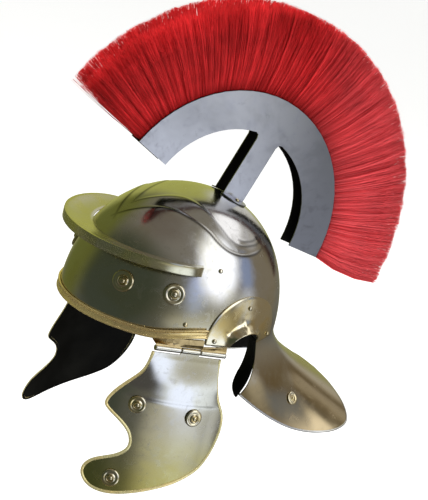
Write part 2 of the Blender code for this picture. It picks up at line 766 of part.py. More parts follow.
def turned(name, profile, sides, point, normal, collection, material):
    """Turned solid that stands on a point, along a normal; the profile is closed on its axis."""
    axis = normal.normalized()
    helper = Vector((0, 0, 1)) if abs(axis.z) < 0.9 else Vector((0, 1, 0))
    x_axis = helper.cross(axis).normalized()
    y_axis = axis.cross(x_axis)
    frame = Matrix((x_axis, y_axis, axis)).transposed().to_4x4()
    frame.translation = point
    bm = bmesh.new()
    spots = [bm.verts.new((radius, 0.0, height)) for radius, height in profile]
    edges = [bm.edges.new(pair) for pair in zip(spots, spots[1:])]
    bmesh.ops.spin(bm, geom=spots + edges, angle=2 * math.pi, steps=sides, axis=(0, 0, 1),
                   cent=(0, 0, 0))
    bmesh.ops.remove_doubles(bm, verts=bm.verts, dist=0.00001)
    obj = object_from_bmesh(name, bm, collection, material)
    obj.matrix_world = frame
    return obj


def boss_profile(radius):
    """Domed washer with a raised ring and a rivet head in the middle."""
    height = radius * BOSS_HEIGHT_SHARE
    return (
        (0.0, height), (0.26 * radius, 0.80 * height), (0.34 * radius, 0.36 * height),
        (0.55 * radius, 0.46 * height), (0.85 * radius, 0.34 * height),
        (radius, 0.0), (0.0, 0.0),
    )


def rivet_profile():
    return (
        (0.0, RIVET_HEIGHT), (0.65 * RIVET_RADIUS, 0.75 * RIVET_HEIGHT),
        (RIVET_RADIUS, 0.0), (0.0, 0.0),
    )


def make_bosses(collection, material):
    made = []
    for label, side in (("left", 1), ("right", -1)):
        for i, (azimuth, height) in enumerate(BOWL_BOSSES, 1):
            point = bowl_point(side * azimuth, height, 2.0 * GAP)
            made.append(turned(f"bowl_boss_{label}_{i}", boss_profile(BOWL_BOSS_RADIUS), BOSS_SIDES,
                               point, bowl_normal(point), collection, material))
        for i, (along, down) in enumerate(CHEEK_BOSSES, 1):
            u = CHEEK_WIDTH * along
            v = CHEEK_DROP * down
            surface = SHEET / 2
            point = cheek_place(side, u, v, surface)
            step = 2 * MM
            run_u = cheek_place(side, u + step, v) - cheek_place(side, u - step, v)
            run_v = cheek_place(side, u, v + step) - cheek_place(side, u, v - step)
            normal = run_u.cross(run_v).normalized()
            if normal.x * side < 0:
                normal = -normal
            point = point + normal * 2.0 * GAP
            made.append(turned(f"cheek_boss_{label}_{i}", boss_profile(CHEEK_BOSS_RADIUS), BOSS_SIDES,
                               point, normal, collection, material))
        place = side * GUARD_BOSS_PLACE
        normal = skirt_normal(place, GUARD_BOSS_SHARE)
        if normal.z < 0:
            normal = -normal
        point = skirt_point(place, GUARD_BOSS_SHARE) + normal * 2.0 * GAP
        made.append(turned(f"guard_boss_{label}", boss_profile(GUARD_BOSS_RADIUS), BOSS_SIDES,
                           point, normal, collection, material))
    return made


def make_rivets(collection, material):
    made = []
    over_plate = 3.0 * GAP + TRIM_SHEET
    for label, side in (("left", 1), ("right", -1)):
        spots = []
        for i, angle in enumerate(EAR_RIVET_ANGLES, 1):
            a = math.radians(angle)
            reach = 0.62 * (EAR_PLATE_WIDTH + (EAR_PLATE_CROWN - EAR_PLATE_WIDTH) * math.sin(a))
            y, z = ear_arch(a, EAR_HALF_WIDTH + reach, EAR_HEIGHT + reach)
            point = bowl_side(y, z, over_plate, side)
            spots.append((f"rivet_ear_{label}_{i}", point, bowl_normal(point)))
        point = bowl_point(side * BAND_RIVET[0], BAND_RIVET[1], GAP)
        spots.append((f"rivet_band_{label}", point, bowl_normal(point)))
        point = bowl_point(side * PEAK_RIVET_AZIMUTH, PEAK_HEIGHT / BOWL_HEIGHT - PEAK_RIVET_DROP, GAP)
        spots.append((f"rivet_peak_{label}", point, bowl_normal(point)))
        foot_y = foot_centre_y()
        point = bowl_crown(side * (CREST_SPREAD / 2 + 0.5 * FOOT_RADIUS), foot_y, over_plate + 0.3 * MM)
        spots.append((f"rivet_crest_{label}", point, bowl_normal(point)))
        for name, point, normal in spots:
            made.append(turned(name, rivet_profile(), RIVET_SIDES, point, normal, collection, material))
    return made


# Crest


def crest_point(across, forward_back, up):
    """Point of the crest holder: across, to the rear and up its leaning middle line."""
    lean = math.radians(CREST_LEAN)
    return Vector((across,
                   CREST_CENTRE_Y + forward_back * math.cos(lean) + up * math.sin(lean),
                   CREST_CENTRE_Z - forward_back * math.sin(lean) + up * math.cos(lean)))


def strut_base():
    """Distance from the crest's centre to the bowl, along the strut."""
    low, high = 0.0, CREST_INNER
    for _ in range(40):
        middle = 0.5 * (low + high)
        point = crest_point(0.0, STRUT_OFFSET, middle)
        if point.z > bowl_crown(0.0, point.y).z:
            high = middle
        else:
            low = middle
    return high


def foot_centre_y():
    return crest_point(0.0, STRUT_OFFSET, strut_base()).y


def make_crest_plate(name, side, collection, cutters, material):
    """Arc of sheet on a strut, with a foot turned out on to the bowl."""
    front = math.radians(CREST_FRONT_ANGLE)
    rear = math.radians(CREST_REAR_ANGLE)
    outline = []
    for i in range(ARC_STATIONS + 1):
        a = front + (rear - front) * i / ARC_STATIONS
        outline.append((CREST_OUTER * math.sin(a), CREST_OUTER * math.cos(a)))
    rear_side = STRUT_OFFSET + STRUT_HALF_WIDTH
    front_side = STRUT_OFFSET - STRUT_HALF_WIDTH
    rear_join = math.asin((rear_side + STRUT_FILLET) / CREST_INNER)
    front_join = math.asin((front_side - STRUT_FILLET) / CREST_INNER)
    half_stations = ARC_STATIONS // 2
    for i in range(half_stations + 1):
        a = rear + (rear_join - rear) * i / half_stations
        outline.append((CREST_INNER * math.sin(a), CREST_INNER * math.cos(a)))
    lowest = strut_base() - 6 * MM
    top = math.sqrt(CREST_INNER ** 2 - rear_side ** 2)
    outline.append((rear_side + 0.3 * STRUT_FILLET, top - 0.45 * STRUT_FILLET))
    outline.append((rear_side, top - STRUT_FILLET * 1.3))
    outline.append((rear_side, lowest))
    outline.append((front_side, lowest))
    top = math.sqrt(CREST_INNER ** 2 - front_side ** 2)
    outline.append((front_side, top - STRUT_FILLET * 1.3))
    outline.append((front_side - 0.3 * STRUT_FILLET, top - 0.45 * STRUT_FILLET))
    for i in range(half_stations + 1):
        a = front_join + (front - front_join) * i / half_stations
        outline.append((CREST_INNER * math.sin(a), CREST_INNER * math.cos(a)))
    outer_x = CREST_SPREAD / 2
    inner_x = outer_x - CREST_SHEET
    sections = [[crest_point(side * x, y, z) for y, z in outline] for x in (inner_x, outer_x)]
    plate = loft_solid(name, sections, collection, material)
    keep = bowl_block("keep", GAP * 2.0, cutters)
    consume(plate, keep, "DIFFERENCE", "MANIFOLD")
    foot = make_foot("foot", side, cutters)
    consume(plate, foot, "UNION", "MANIFOLD")
    plate.data.shade_smooth()
    plate.data.set_sharp_from_angle(angle=math.radians(35))
    return plate


def bowl_block(name, grow, cutters):
    """Closed form of the bowl's crown, a little larger than the bowl, to cut with."""
    bm = bmesh.new()
    rings = []
    for r in range(9):
        reach = 0.055 * r / 8
        ring = []
        for i in range(24):
            a = 2 * math.pi * i / 24
            if r == 0:
                continue
            y0 = foot_centre_y()
            ring.append(bm.verts.new(bowl_crown(reach * math.cos(a), y0 + reach * math.sin(a), grow)))
        rings.append(ring)
    centre = bm.verts.new(bowl_crown(0.0, foot_centre_y(), grow))
    for i in range(24):
        bm.faces.new((centre, rings[1][i], rings[1][(i + 1) % 24]))
    for low, high in zip(rings[1:], rings[2:]):
        for i in range(24):
            k = (i + 1) % 24
            bm.faces.new((low[i], high[i], high[k], low[k]))
    base = [bm.verts.new((v.co.x, v.co.y, 0.05)) for v in rings[-1]]
    for i in range(24):
        k = (i + 1) % 24
        bm.faces.new((rings[-1][i], base[i], base[k], rings[-1][k]))
    bm.faces.new(list(reversed(base)))
    return object_from_bmesh(name, bm, cutters)


def make_foot(name, side, cutters):
    """Half-round tongue that lies on the bowl beside the strut."""
    centre_y = foot_centre_y()
    inner_x = CREST_SPREAD / 2 - CREST_SHEET
    outer_x = CREST_SPREAD / 2 + FOOT_OUT
    low = 2.0 * GAP
    high = low + CREST_SHEET
    bm = bmesh.new()
    stations = 8
    spans = 3
    grids = []
    for grow in (low, high):
        grid = []
        for i in range(stations + 1):
            a = math.pi * i / stations
            y = centre_y - FOOT_RADIUS * math.cos(a)
            reach = (outer_x - inner_x) * 0.4 + FOOT_RADIUS * 0.8 * math.sin(a)
            row = []
            for j in range(spans + 1):
                x = inner_x + reach * j / spans
                row.append(bm.verts.new(bowl_crown(side * x, y, grow)))
            grid.append(row)
        grids.append(grid)
    bottom, top = grids
    for i in range(stations):
        for j in range(spans):
            bm.faces.new((bottom[i][j], bottom[i][j + 1], bottom[i + 1][j + 1], bottom[i + 1][j]))
            bm.faces.new((top[i][j], top[i + 1][j], top[i + 1][j + 1], top[i][j + 1]))
    border = [(i, 0) for i in range(stations)] + [(stations, j) for j in range(spans)]
    border += [(i, spans) for i in range(stations, 0, -1)] + [(0, j) for j in range(spans, 0, -1)]
    for first, second in zip(border, border[1:] + border[:1]):
        bm.faces.new((bottom[first[0]][first[1]], bottom[second[0]][second[1]],
                      top[second[0]][second[1]], top[first[0]][first[1]]))
    return object_from_bmesh(name, bm, cutters)


def arc_body(name, inner, outer, half_width, collection, material, stations):
    front = math.radians(CREST_FRONT_ANGLE)
    rear = math.radians(CREST_REAR_ANGLE)
    sections = []
    for i in range(stations + 1):
        a = front + (rear - front) * i / stations
        sections.append([crest_point(x, r * math.sin(a), r * math.cos(a))
                         for x, r in ((-half_width, inner), (half_width, inner),
                                      (half_width, outer), (-half_width, outer))])
    return loft_solid(name, sections, collection, material)


def make_crest_block(collection, material):
    """Wooden back of the brush, held between the two plates."""
    half = CREST_SPREAD / 2 - CREST_SHEET - GAP
    outer = CREST_OUTER - BLOCK_TOP
    return arc_body("crest_block", outer - BLOCK_DEPTH, outer, half, collection, material, 24)


def make_plume(collection, material):
    """Brush of bristles: locks side by side round the arc, fused at their roots."""
    front = math.radians(CREST_FRONT_ANGLE)
    rear = math.radians(CREST_REAR_ANGLE)
    root = CREST_OUTER - BLOCK_TOP + GAP
    neck = CREST_SPREAD / 2 - CREST_SHEET - GAP
    edge = CREST_OUTER + 1.5 * MM
    sections = []
    stations = 2 * PLUME_LOCKS
    for i in range(stations + 1):
        a = front + (rear - front) * i / stations
        groove = i % 2 == 0
        share = PLUME_GROOVE if groove else 1.0
        tip = edge + (PLUME_RADIUS - edge) * (0.955 if groove else 1.0)
        wide = PLUME_SPREAD / 2 * share
        shoulder = edge + 0.72 * (tip - edge)
        half = (
            (neck, root), (neck, edge), (neck + 0.45 * (wide - neck), edge + 0.22 * (tip - edge)),
            (wide, shoulder), (0.62 * wide, tip - 0.05 * (tip - edge)),
        )
        section = [crest_point(x, r * math.sin(a), r * math.cos(a)) for x, r in half]
        section.append(crest_point(0.0, tip * math.sin(a), tip * math.cos(a)))
        section += [crest_point(-x, r * math.sin(a), r * math.cos(a)) for x, r in reversed(half)]
        sections.append(section)
    return loft_solid("plume", sections, collection, material)


# Build


def hinge_empty(name, side, collection):
    empty = bpy.data.objects.new(name, None)
    empty.empty_display_size = 0.03
    empty.matrix_world = Matrix.Translation(hinge_frame(side).translation)
    collection.objects.link(empty)
    return empty


def hang_from(empty, objects):
    bpy.context.view_layer.update()
    for obj in objects:
        world = obj.matrix_world.copy()
        obj.parent = empty
        obj.matrix_parent_inverse = empty.matrix_world.inverted()
        obj.matrix_world = world


def main():
    clear_scene()
    helmet = new_collection("roman_legionary_helmet")
    cutters = new_collection("cutters")
    materials = make_materials()
    steel = materials["steel"]
    brass = materials["brass"]
    grey = materials["grey_steel"]
    make_skull(helmet, cutters, steel)
    make_peak(helmet, steel)
    make_band(helmet, brass)
    for label, side in (("left", 1), ("right", -1)):
        make_ear_guard(f"ear_guard_{label}", side, helmet, brass)
        make_upper_leaf(f"hinge_leaf_{label}", side, helmet, cutters, brass)
        half = HINGE_LENGTH / 2
        place_cylinder(f"hinge_pin_{label}", hinge_frame(side), -half, half, PIN_RADIUS, 8, helmet, steel)
        plate = make_cheek_plate(f"cheek_plate_{label}", side, helmet, cutters, steel)
        trim = make_cheek_trim(f"cheek_trim_{label}", side, helmet, brass)
        hang_from(hinge_empty(f"cheek_hinge_{label}", side, helmet), [plate, trim])
        make_crest_plate(f"crest_plate_{label}", side, helmet, cutters, grey)
    bosses = make_bosses(helmet, brass)
    for boss in bosses:
        for label in ("left", "right"):
            if boss.name.startswith(f"cheek_boss_{label}"):
                hang_from(bpy.data.objects[f"cheek_hinge_{label}"], [boss])
    make_rivets(helmet, brass)
    make_crest_block(helmet, materials["black_wood"])
    make_plume(helmet, materials["red_bristle"])


main()
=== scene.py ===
"""Roman legionary helmet: polished steel with brass fittings and a brush of red bristles.

Laid out as a Blender add-on with one operator for each group of pieces. Metres, +Z up,
the face looks along -Y, the wearer's left is +X.
"""

import json
import math

import bmesh
import bpy
import numpy as np
from mathutils import Matrix, Vector

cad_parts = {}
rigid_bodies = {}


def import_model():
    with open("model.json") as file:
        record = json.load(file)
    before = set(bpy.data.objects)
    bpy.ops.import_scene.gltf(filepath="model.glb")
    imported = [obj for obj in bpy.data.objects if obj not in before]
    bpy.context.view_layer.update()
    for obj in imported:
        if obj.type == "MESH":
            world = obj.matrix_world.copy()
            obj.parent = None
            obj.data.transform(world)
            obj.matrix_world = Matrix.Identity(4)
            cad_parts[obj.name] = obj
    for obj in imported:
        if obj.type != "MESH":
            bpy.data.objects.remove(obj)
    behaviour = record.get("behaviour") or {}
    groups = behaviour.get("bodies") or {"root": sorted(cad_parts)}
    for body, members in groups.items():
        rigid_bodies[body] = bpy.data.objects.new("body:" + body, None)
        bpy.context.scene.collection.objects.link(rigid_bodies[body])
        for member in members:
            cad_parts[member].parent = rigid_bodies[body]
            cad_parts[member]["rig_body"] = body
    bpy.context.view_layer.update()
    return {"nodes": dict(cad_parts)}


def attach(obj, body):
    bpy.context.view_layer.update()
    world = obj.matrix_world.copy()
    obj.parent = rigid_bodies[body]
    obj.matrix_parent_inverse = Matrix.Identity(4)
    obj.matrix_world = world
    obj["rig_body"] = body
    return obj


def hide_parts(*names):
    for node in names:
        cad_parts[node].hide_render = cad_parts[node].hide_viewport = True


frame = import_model()

bl_info = {
    "name": "Roman Legionary Helmet",
    "version": (1, 0, 0),
    "blender": (4, 5, 0),
    "location": "View3D > Sidebar > Helmet",
    "description": "Models the visible pieces of a crested helmet and gives them their finishes",
    "category": "Add Mesh",
}

MM = 0.001


def length(name, about, value):
    return bpy.props.FloatProperty(name=name, description=about, default=value, unit="LENGTH")


def tint(name, about, value):
    return bpy.props.FloatVectorProperty(name=name, description=about, subtype="COLOR", default=value)


class HelmetSizes(bpy.types.PropertyGroup):
    sheet: length("Sheet", "Thickness of the steel sheet", 1.3 * MM)
    bowl_half_width: length("Bowl half width", "Half of the bowl's outer width", 103 * MM)
    bowl_half_length: length("Bowl half length", "Half of the bowl's outer length", 120 * MM)
    bowl_height: length("Bowl height", "Height of the bowl above its rim", 132 * MM)
    bowl_fullness: bpy.props.FloatProperty(
        name="Bowl fullness", description="2 is an ellipsoid, more is boxier", default=2.1)
    brow_relief: length("Brow relief", "Height of the embossed brows", 0.6 * MM)
    brow_width: length("Brow width", "Width of a brow's rounded lower side", 9 * MM)
    brow_crease: length("Brow crease", "Width of a brow's creased upper side", 2 * MM)
    bristles: bpy.props.IntProperty(
        name="Bristles", description="Strands in each fifth of the brush", default=4800)
    bristle_radius: length("Bristle radius", "Radius of a strand at its root", 0.36 * MM)


class HelmetColours(bpy.types.PropertyGroup):
    steel: tint("Steel", "Clean polished steel", (0.70, 0.69, 0.66))
    steel_warm: tint("Warm steel", "Yellowed steel", (0.64, 0.61, 0.47))
    # Colour of the neck guard towards its bottom.
    steel_brown: tint("Brown steel", "Tarnish of the neck guard", (0.45, 0.355, 0.20))
    # Colour of the cheeks towards their bottom.
    steel_yellow: tint("Yellow steel", "Tarnish low on the cheeks", (0.72, 0.68, 0.28))
    brass: tint("Brass", "Polished brass", (0.86, 0.68, 0.29))
    brass_pale: tint("Pale brass", "Bosses and ear guards", (0.80, 0.74, 0.56))
    brass_dull: tint("Dull brass", "Brass in corners", (0.64, 0.48, 0.23))
    edging: tint("Edging", "Brass edging of the cheek pieces", (0.74, 0.68, 0.36))
    satin: tint("Satin sheet", "Grey sheet of the crest holder", (0.62, 0.63, 0.69))
    paint: tint("Black paint", "Paint on the inner sides", (0.003, 0.003, 0.0025))
    bristle: tint("Bristle", "Red of the brush", (0.62, 0.008, 0.010))
    # Painted shade: the dark red deep in the brush and at the strands' roots.
    bristle_dark: tint("Bristle root", "Red deep in the brush", (0.20, 0.004, 0.004))
    backdrop: tint("Backdrop", "Floor and wall", (0.92, 0.92, 0.91))


class HelmetStage(bpy.types.PropertyGroup):
    camera_place: bpy.props.FloatVectorProperty(
        name="Camera place", description="Where the camera stands", subtype="TRANSLATION",
        default=(1.183633, -0.727436, 0.518098))
    lens: bpy.props.FloatProperty(
        name="Lens", description="Focal length in millimetres", default=100.806)
    floor_drop: length("Floor drop", "Floor below the helmet's rim", 0.62)


def sizes():
    return bpy.context.scene.helmet_sizes


def shade(name, share=1.0):
    """Colour of that name, each part times share."""
    return tuple(share * part for part in getattr(bpy.context.scene.helmet_colours, name))


SKIRT_AZIMUTH = 65.0
NAPE_DEPTH = 27 * MM
NAPE_RETURN = 25 * MM
GUARD_HALF_WIDTH = 103 * MM
GUARD_REACH = 213 * MM
GUARD_DROP = 100 * MM
GUARD_SWEEP = 0.55
GUARD_BEAD = 1.25 * MM
EAR_CENTRE = 36.5 * MM
EAR_HALF_WIDTH = 23 * MM
EAR_HEIGHT = 20 * MM
HINGE_INSET = 2.5 * MM
HINGE_Y = -22.5 * MM
HINGE_DROP = 8 * MM
HINGE_YAW = 5.0
HINGE_FALL = 3.5
HINGE_LENGTH = 79 * MM
KNUCKLE_RADIUS = 2.8 * MM
PIN_RADIUS = 1.2 * MM
KNUCKLE_MIDDLE = 21 * MM
KNUCKLE_PLAY = 0.5 * MM
CHEEK_WIDTH = 134 * MM
CHEEK_DROP = 163 * MM
CHEEK_TOP = 4.5 * MM
CHEEK_LEAN = -4.0
CHEEK_FRONT_CURL = 20 * MM
CHEEK_REAR_CURL = 10.8 * MM
CHEEK_FLARE = 10.6 * MM
CHEEK_FLAT = 50 * MM
CHEEK_TRIM = 4.0 * MM
CHEEK_SWELL = 2.0 * MM
CHEEK_SWELL_AT = 0.205
CHEEK_STEP = 0.6 * MM
CHEEK_STEP_AT = 0.350
CREST_LEAN = 20.5
CREST_CENTRE_Y = 32.3 * MM
CREST_CENTRE_Z = 104.2 * MM
CREST_OUTER = 136.7 * MM
CREST_FRONT_ANGLE = -79.0
CREST_REAR_ANGLE = 86.0
CREST_SPREAD = 19 * MM
CREST_SHEET = 1.2 * MM
BLOCK_TOP = 9 * MM
PLUME_RADIUS = 229 * MM
PLUME_SPREAD = 40 * MM

# Half width of the painted shade along a brow's crease.
BROW_SHADE_WIDTH = 1.4 * MM

SIDES = (("left", 1), ("right", -1))

# Creases of the embossed brows: azimuth from the front in degrees, share of the bowl's height.
LOWER_BROW = (
    (-3, 0.690), (5, 0.765), (13, 0.813), (22, 0.850), (33, 0.874), (46, 0.879),
    (60, 0.863), (72, 0.835), (80.5, 0.793), (86, 0.745), (92, 0.702), (98, 0.677),
    (105, 0.663), (113, 0.662), (121, 0.673), (130, 0.696),
)
UPPER_BROW = (
    (-1, 0.815), (6, 0.876), (14.5, 0.913), (26, 0.940), (42.5, 0.953), (60, 0.948), (74, 0.925),
    (84, 0.885), (91, 0.830), (96, 0.775), (102, 0.738), (110, 0.722), (121, 0.722), (130, 0.735),
)
BROW_CURL = ((104, 0.768), (110, 0.752), (119, 0.748), (128, 0.760))

# Shares of the radius, outwards and up: washer edge, dished face, raised ring, second dish and
# a rivet head.
BOSS_PROFILE = (
    (1.00, -0.03), (1.00, 0.05), (0.97, 0.10), (0.90, 0.145), (0.80, 0.17), (0.71, 0.16), (0.64, 0.125),
    (0.58, 0.115), (0.53, 0.14), (0.49, 0.19), (0.44, 0.215), (0.39, 0.19), (0.35, 0.14),
    (0.31, 0.125), (0.285, 0.15), (0.275, 0.24), (0.255, 0.31), (0.21, 0.365), (0.14, 0.40),
    (0.07, 0.418), (0.0, 0.42),
)
RIVET_PROFILE = (
    (1.0, -0.05), (1.0, 0.06), (0.97, 0.16), (0.88, 0.32), (0.72, 0.46), (0.50, 0.56), (0.26, 0.61),
    (0.0, 0.62),
)

# Edge of the neck guard from the middle of the rear to the ear: place, then shares of the
# guard's half width, reach and drop.
GUARD_EDGE = (
    (0.00, 0.00, 1.000, 0.740), (0.13, 0.36, 0.996, 0.760), (0.26, 0.70, 0.985, 0.830),
    (0.36, 0.90, 0.955, 0.920), (0.46, 0.985, 0.870, 0.980), (0.58, 1.00, 0.735, 1.000),
    (0.70, 1.00, 0.590, 0.950), (0.82, 0.99, 0.450, 0.835), (0.92, 0.975, 0.325, 0.690),
    (1.00, 0.96, 0.215, 0.540),
)

# Front edge of the nape below the ear: shares of the ear cut's half width and the guard's drop.
NAPE_EDGE = (
    (1.00, 0.000), (1.17, 0.150), (1.20, 0.320), (1.02, 0.460), (0.62, 0.575), (0.35, 0.630),
)

# Outline of the cheek piece from the front of its hinge: shares of its width and drop.
CHEEK_OUTLINE = (
    (-0.312, 0.028), (-0.313, 0.122), (-0.337, 0.197), (-0.421, 0.303), (-0.475, 0.380),
    (-0.492, 0.452), (-0.415, 0.504), (-0.308, 0.573), (-0.273, 0.650), (-0.303, 0.702),
    (-0.375, 0.746), (-0.496, 0.802), (-0.548, 0.888), (-0.497, 0.970), (-0.370, 0.997),
    (-0.179, 0.961), (0.078, 0.886), (0.195, 0.842), (0.312, 0.781), (0.381, 0.708),
    (0.428, 0.622), (0.456, 0.520), (0.452, 0.434), (0.419, 0.366), (0.364, 0.299),
    (0.313, 0.198), (0.282, 0.097), (0.274, 0.028),
)


# Selecting and shaping


def deselect():
    bpy.ops.object.select_all(action="DESELECT")


def pick(obj):
    deselect()
    obj.select_set(True)
    bpy.context.view_layer.objects.active = obj
    return obj


def named(obj, name):
    obj.name = name
    obj.data.name = name
    return obj


def apply_all(obj):
    pick(obj)
    for modifier in list(obj.modifiers):
        bpy.ops.object.modifier_apply(modifier=modifier.name)
    return obj


def settle(obj):
    """Put the object's place and turn into its mesh."""
    pick(obj)
    bpy.ops.object.transform_apply(location=True, rotation=True, scale=True)
    return obj


def edit_all(obj, *steps):
    """Run edit mode operators in turn, each with its settings, on the whole mesh."""
    pick(obj)
    bpy.ops.object.mode_set(mode="EDIT")
    for operator, settings in steps:
        bpy.ops.mesh.select_all(action="SELECT")
        operator(**settings)
    bpy.ops.object.mode_set(mode="OBJECT")
    return obj


OUTWARDS = (bpy.ops.mesh.normals_make_consistent, {"inside": False})


def merge_doubles(obj, distance=0.01 * MM):
    return edit_all(obj, (bpy.ops.mesh.remove_doubles, {"threshold": distance}))


def face_outwards(obj):
    return edit_all(obj, OUTWARDS)


def close_ends(obj):
    return edit_all(obj, (bpy.ops.mesh.fill_holes, {"sides": 0}), OUTWARDS)


def thicken(obj, height):
    """Push a flat mesh up into a solid."""
    move = {"TRANSFORM_OT_translate": {"value": (0.0, 0.0, height)}}
    return edit_all(obj, (bpy.ops.mesh.extrude_region_move, move), OUTWARDS)


def smooth(obj, angle=35.0):
    pick(obj)
    bpy.ops.object.shade_smooth_by_angle(angle=math.radians(angle), keep_sharp_edges=False)
    return obj


def bevel_edges(obj, width, segments=2, angle=40.0):
    modifier = obj.modifiers.new("Rounded edges", "BEVEL")
    modifier.width = width
    modifier.segments = segments
    modifier.limit_method = "ANGLE"
    modifier.angle_limit = math.radians(angle)
    return apply_all(obj)


def keep_flats(obj):
    """Wide flat faces keep their own shading beside rounded edges."""
    modifier = obj.modifiers.new("Flat faces", "WEIGHTED_NORMAL")
    modifier.keep_sharp = True
    return apply_all(obj)


def subdivide(obj, levels):
    modifier = obj.modifiers.new("Subdivision", "SUBSURF")
    modifier.levels = levels
    modifier.render_levels = levels
    return apply_all(obj)


def cut_with(obj, cutter, operation):
    modifier = obj.modifiers.new("Cut", "BOOLEAN")
    modifier.operation = operation
    modifier.solver = "MANIFOLD"
    modifier.object = cutter
    apply_all(obj)
    bpy.data.objects.remove(cutter)
    return obj


def set_points(obj, points):
    obj.data.vertices.foreach_set("co", np.asarray(points, np.float32).ravel())
    obj.data.update()


def get_points(obj):
    points = np.empty(len(obj.data.vertices) * 3, np.float32)
    obj.data.vertices.foreach_get("co", points)
    return points.reshape(-1, 3).astype(float)


def grid_piece(name, columns, rows, place):
    """Grid primitive laid on a surface: place takes arrays u and v from 0 to 1."""
    deselect()
    bpy.ops.mesh.primitive_grid_add(x_subdivisions=columns, y_subdivisions=rows, size=1.0)
    obj = named(bpy.context.object, name)
    flat = get_points(obj)
    set_points(obj, place(flat[:, 0] + 0.5, flat[:, 1] + 0.5))
    return obj


def outline_solid(name, outline, low, high):
    """Flat disc primitive drawn to an outline and pushed up into a solid."""
    deselect()
    bpy.ops.mesh.primitive_circle_add(vertices=len(outline), radius=1.0, fill_type="NGON")
    obj = named(bpy.context.object, name)
    set_points(obj, [(x, y, low) for x, y in outline])
    return thicken(obj, high - low)


def turned_piece(name, profile, sides, tube=False):
    """Ring primitive drawn along a profile of (radius, height); a tube comes back to its start."""
    deselect()
    bpy.ops.mesh.primitive_circle_add(vertices=sides, radius=profile[0][0], fill_type="NOTHING",
                                      location=(0.0, 0.0, profile[0][1]))
    obj = settle(named(bpy.context.object, name))
    bpy.ops.object.mode_set(mode="EDIT")
    bpy.ops.mesh.select_all(action="SELECT")
    rings = profile[1:] + profile[:1] if tube else profile[1:]
    for (radius, height), (before, lower) in zip(rings, profile):
        bpy.ops.mesh.extrude_edges_move(TRANSFORM_OT_translate={"value": (0.0, 0.0, height - lower)})
        scale = max(radius, 0.02 * MM) / before
        bpy.ops.transform.resize(value=(scale, scale, 1.0), center_override=(0.0, 0.0, height))
    if not tube:
        bpy.ops.mesh.edge_face_add()
    bpy.ops.object.mode_set(mode="OBJECT")
    if tube:
        merge_doubles(obj, 0.005 * MM)
    return face_outwards(obj)


def refined_copy(node, name, levels=2, crease_angle=38.0, crease=0.94):
    """Copy of a CAD node's solid; with levels, its facets join to quads and are smoothed."""
    obj = frame["nodes"][node].copy()
    obj.data = frame["nodes"][node].data.copy()
    bpy.context.scene.collection.objects.link(obj)
    for key in list(obj.keys()):
        del obj[key]
    obj.parent = None
    obj.matrix_world = Matrix.Identity(4)
    named(obj, name)
    obj.data.materials.clear()
    merge_doubles(obj, 0.001 * MM)
    if not levels:
        return edit_all(obj, (bpy.ops.mesh.dissolve_limited, {"angle_limit": math.radians(0.5)}))
    limits = {"face_threshold": math.radians(50), "shape_threshold": math.radians(70)}
    edit_all(obj, (bpy.ops.mesh.tris_convert_to_quads, limits))
    bm = bmesh.new()
    bm.from_mesh(obj.data)
    layer = bm.edges.layers.float.get("crease_edge") or bm.edges.layers.float.new("crease_edge")
    for edge in bm.edges:
        if edge.calc_face_angle(0.0) > math.radians(crease_angle):
            edge[layer] = crease
    bm.to_mesh(obj.data)
    bm.free()
    return subdivide(obj, levels)


def finish_piece(obj, body, material, replaced=()):
    if material is not None:
        obj.data.materials.clear()
        obj.data.materials.append(material)
    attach(obj, body)
    if replaced:
        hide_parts(*replaced)
    return obj


# Forms of the bowl, the neck guard and the cheek piece


def unit(vectors):
    return vectors / np.maximum(np.linalg.norm(vectors, axis=-1, keepdims=True), 1e-12)


def bowl_normals(points):
    size = sizes()
    x = points[:, 0] / size.bowl_half_width
    y = points[:, 1] / size.bowl_half_length
    bend = np.maximum(np.hypot(x, y), 1e-6) ** (size.bowl_fullness - 2.0)
    rise = np.maximum(points[:, 2], 0.0) / size.bowl_height
    return unit(np.stack((bend * x / size.bowl_half_width, bend * y / size.bowl_half_length,
                          rise ** (size.bowl_fullness - 1.0) / size.bowl_height), axis=1))


def bowl_points(azimuth, height_share, grow=0.0):
    """Points on the bowl by azimuth from the front in degrees and by share of its height."""
    size = sizes()
    angle = np.radians(azimuth)
    level = np.clip(height_share, 0.0, 1.0)
    share = (1.0 - level ** size.bowl_fullness) ** (1.0 / size.bowl_fullness)
    points = np.stack((size.bowl_half_width * share * np.sin(angle),
                       -size.bowl_half_length * share * np.cos(angle),
                       size.bowl_height * level + 0.0 * angle), axis=1)
    return points + bowl_normals(points) * grow


def smooth_line(points, per_span):
    """Catmull-Rom line through the points."""
    p = np.asarray(points, float)
    ends = np.vstack((p[:1], p, p[-1:]))
    line = []
    for i in range(len(p) - 1):
        p0, p1, p2, p3 = ends[i:i + 4]
        for t in np.arange(per_span) / per_span:
            line.append(0.5 * (2 * p1 + (p2 - p0) * t + (2 * p0 - 5 * p1 + 4 * p2 - p3) * t * t
                               + (3 * p1 - p0 - 3 * p2 + p3) * t ** 3))
    line.append(p[-1])
    return np.array(line)


def table_line(table, column):
    """Column of a table as a smooth function of its first column."""
    places = np.array([row[0] for row in table], float)
    values = np.array([row[column] for row in table], float)
    before = np.maximum(np.arange(len(places)) - 1, 0)
    after = np.minimum(np.arange(len(places)) + 1, len(places) - 1)
    slopes = (values[after] - values[before]) / (places[after] - places[before])

    def read(place):
        i = np.clip(np.searchsorted(places, place) - 1, 0, len(places) - 2)
        span = places[i + 1] - places[i]
        t = (place - places[i]) / span
        return ((2 * t ** 3 - 3 * t ** 2 + 1) * values[i] + (t ** 3 - 2 * t ** 2 + t) * span * slopes[i]
                + (3 * t ** 2 - 2 * t ** 3) * values[i + 1] + (t ** 3 - t ** 2) * span * slopes[i + 1])
    return read


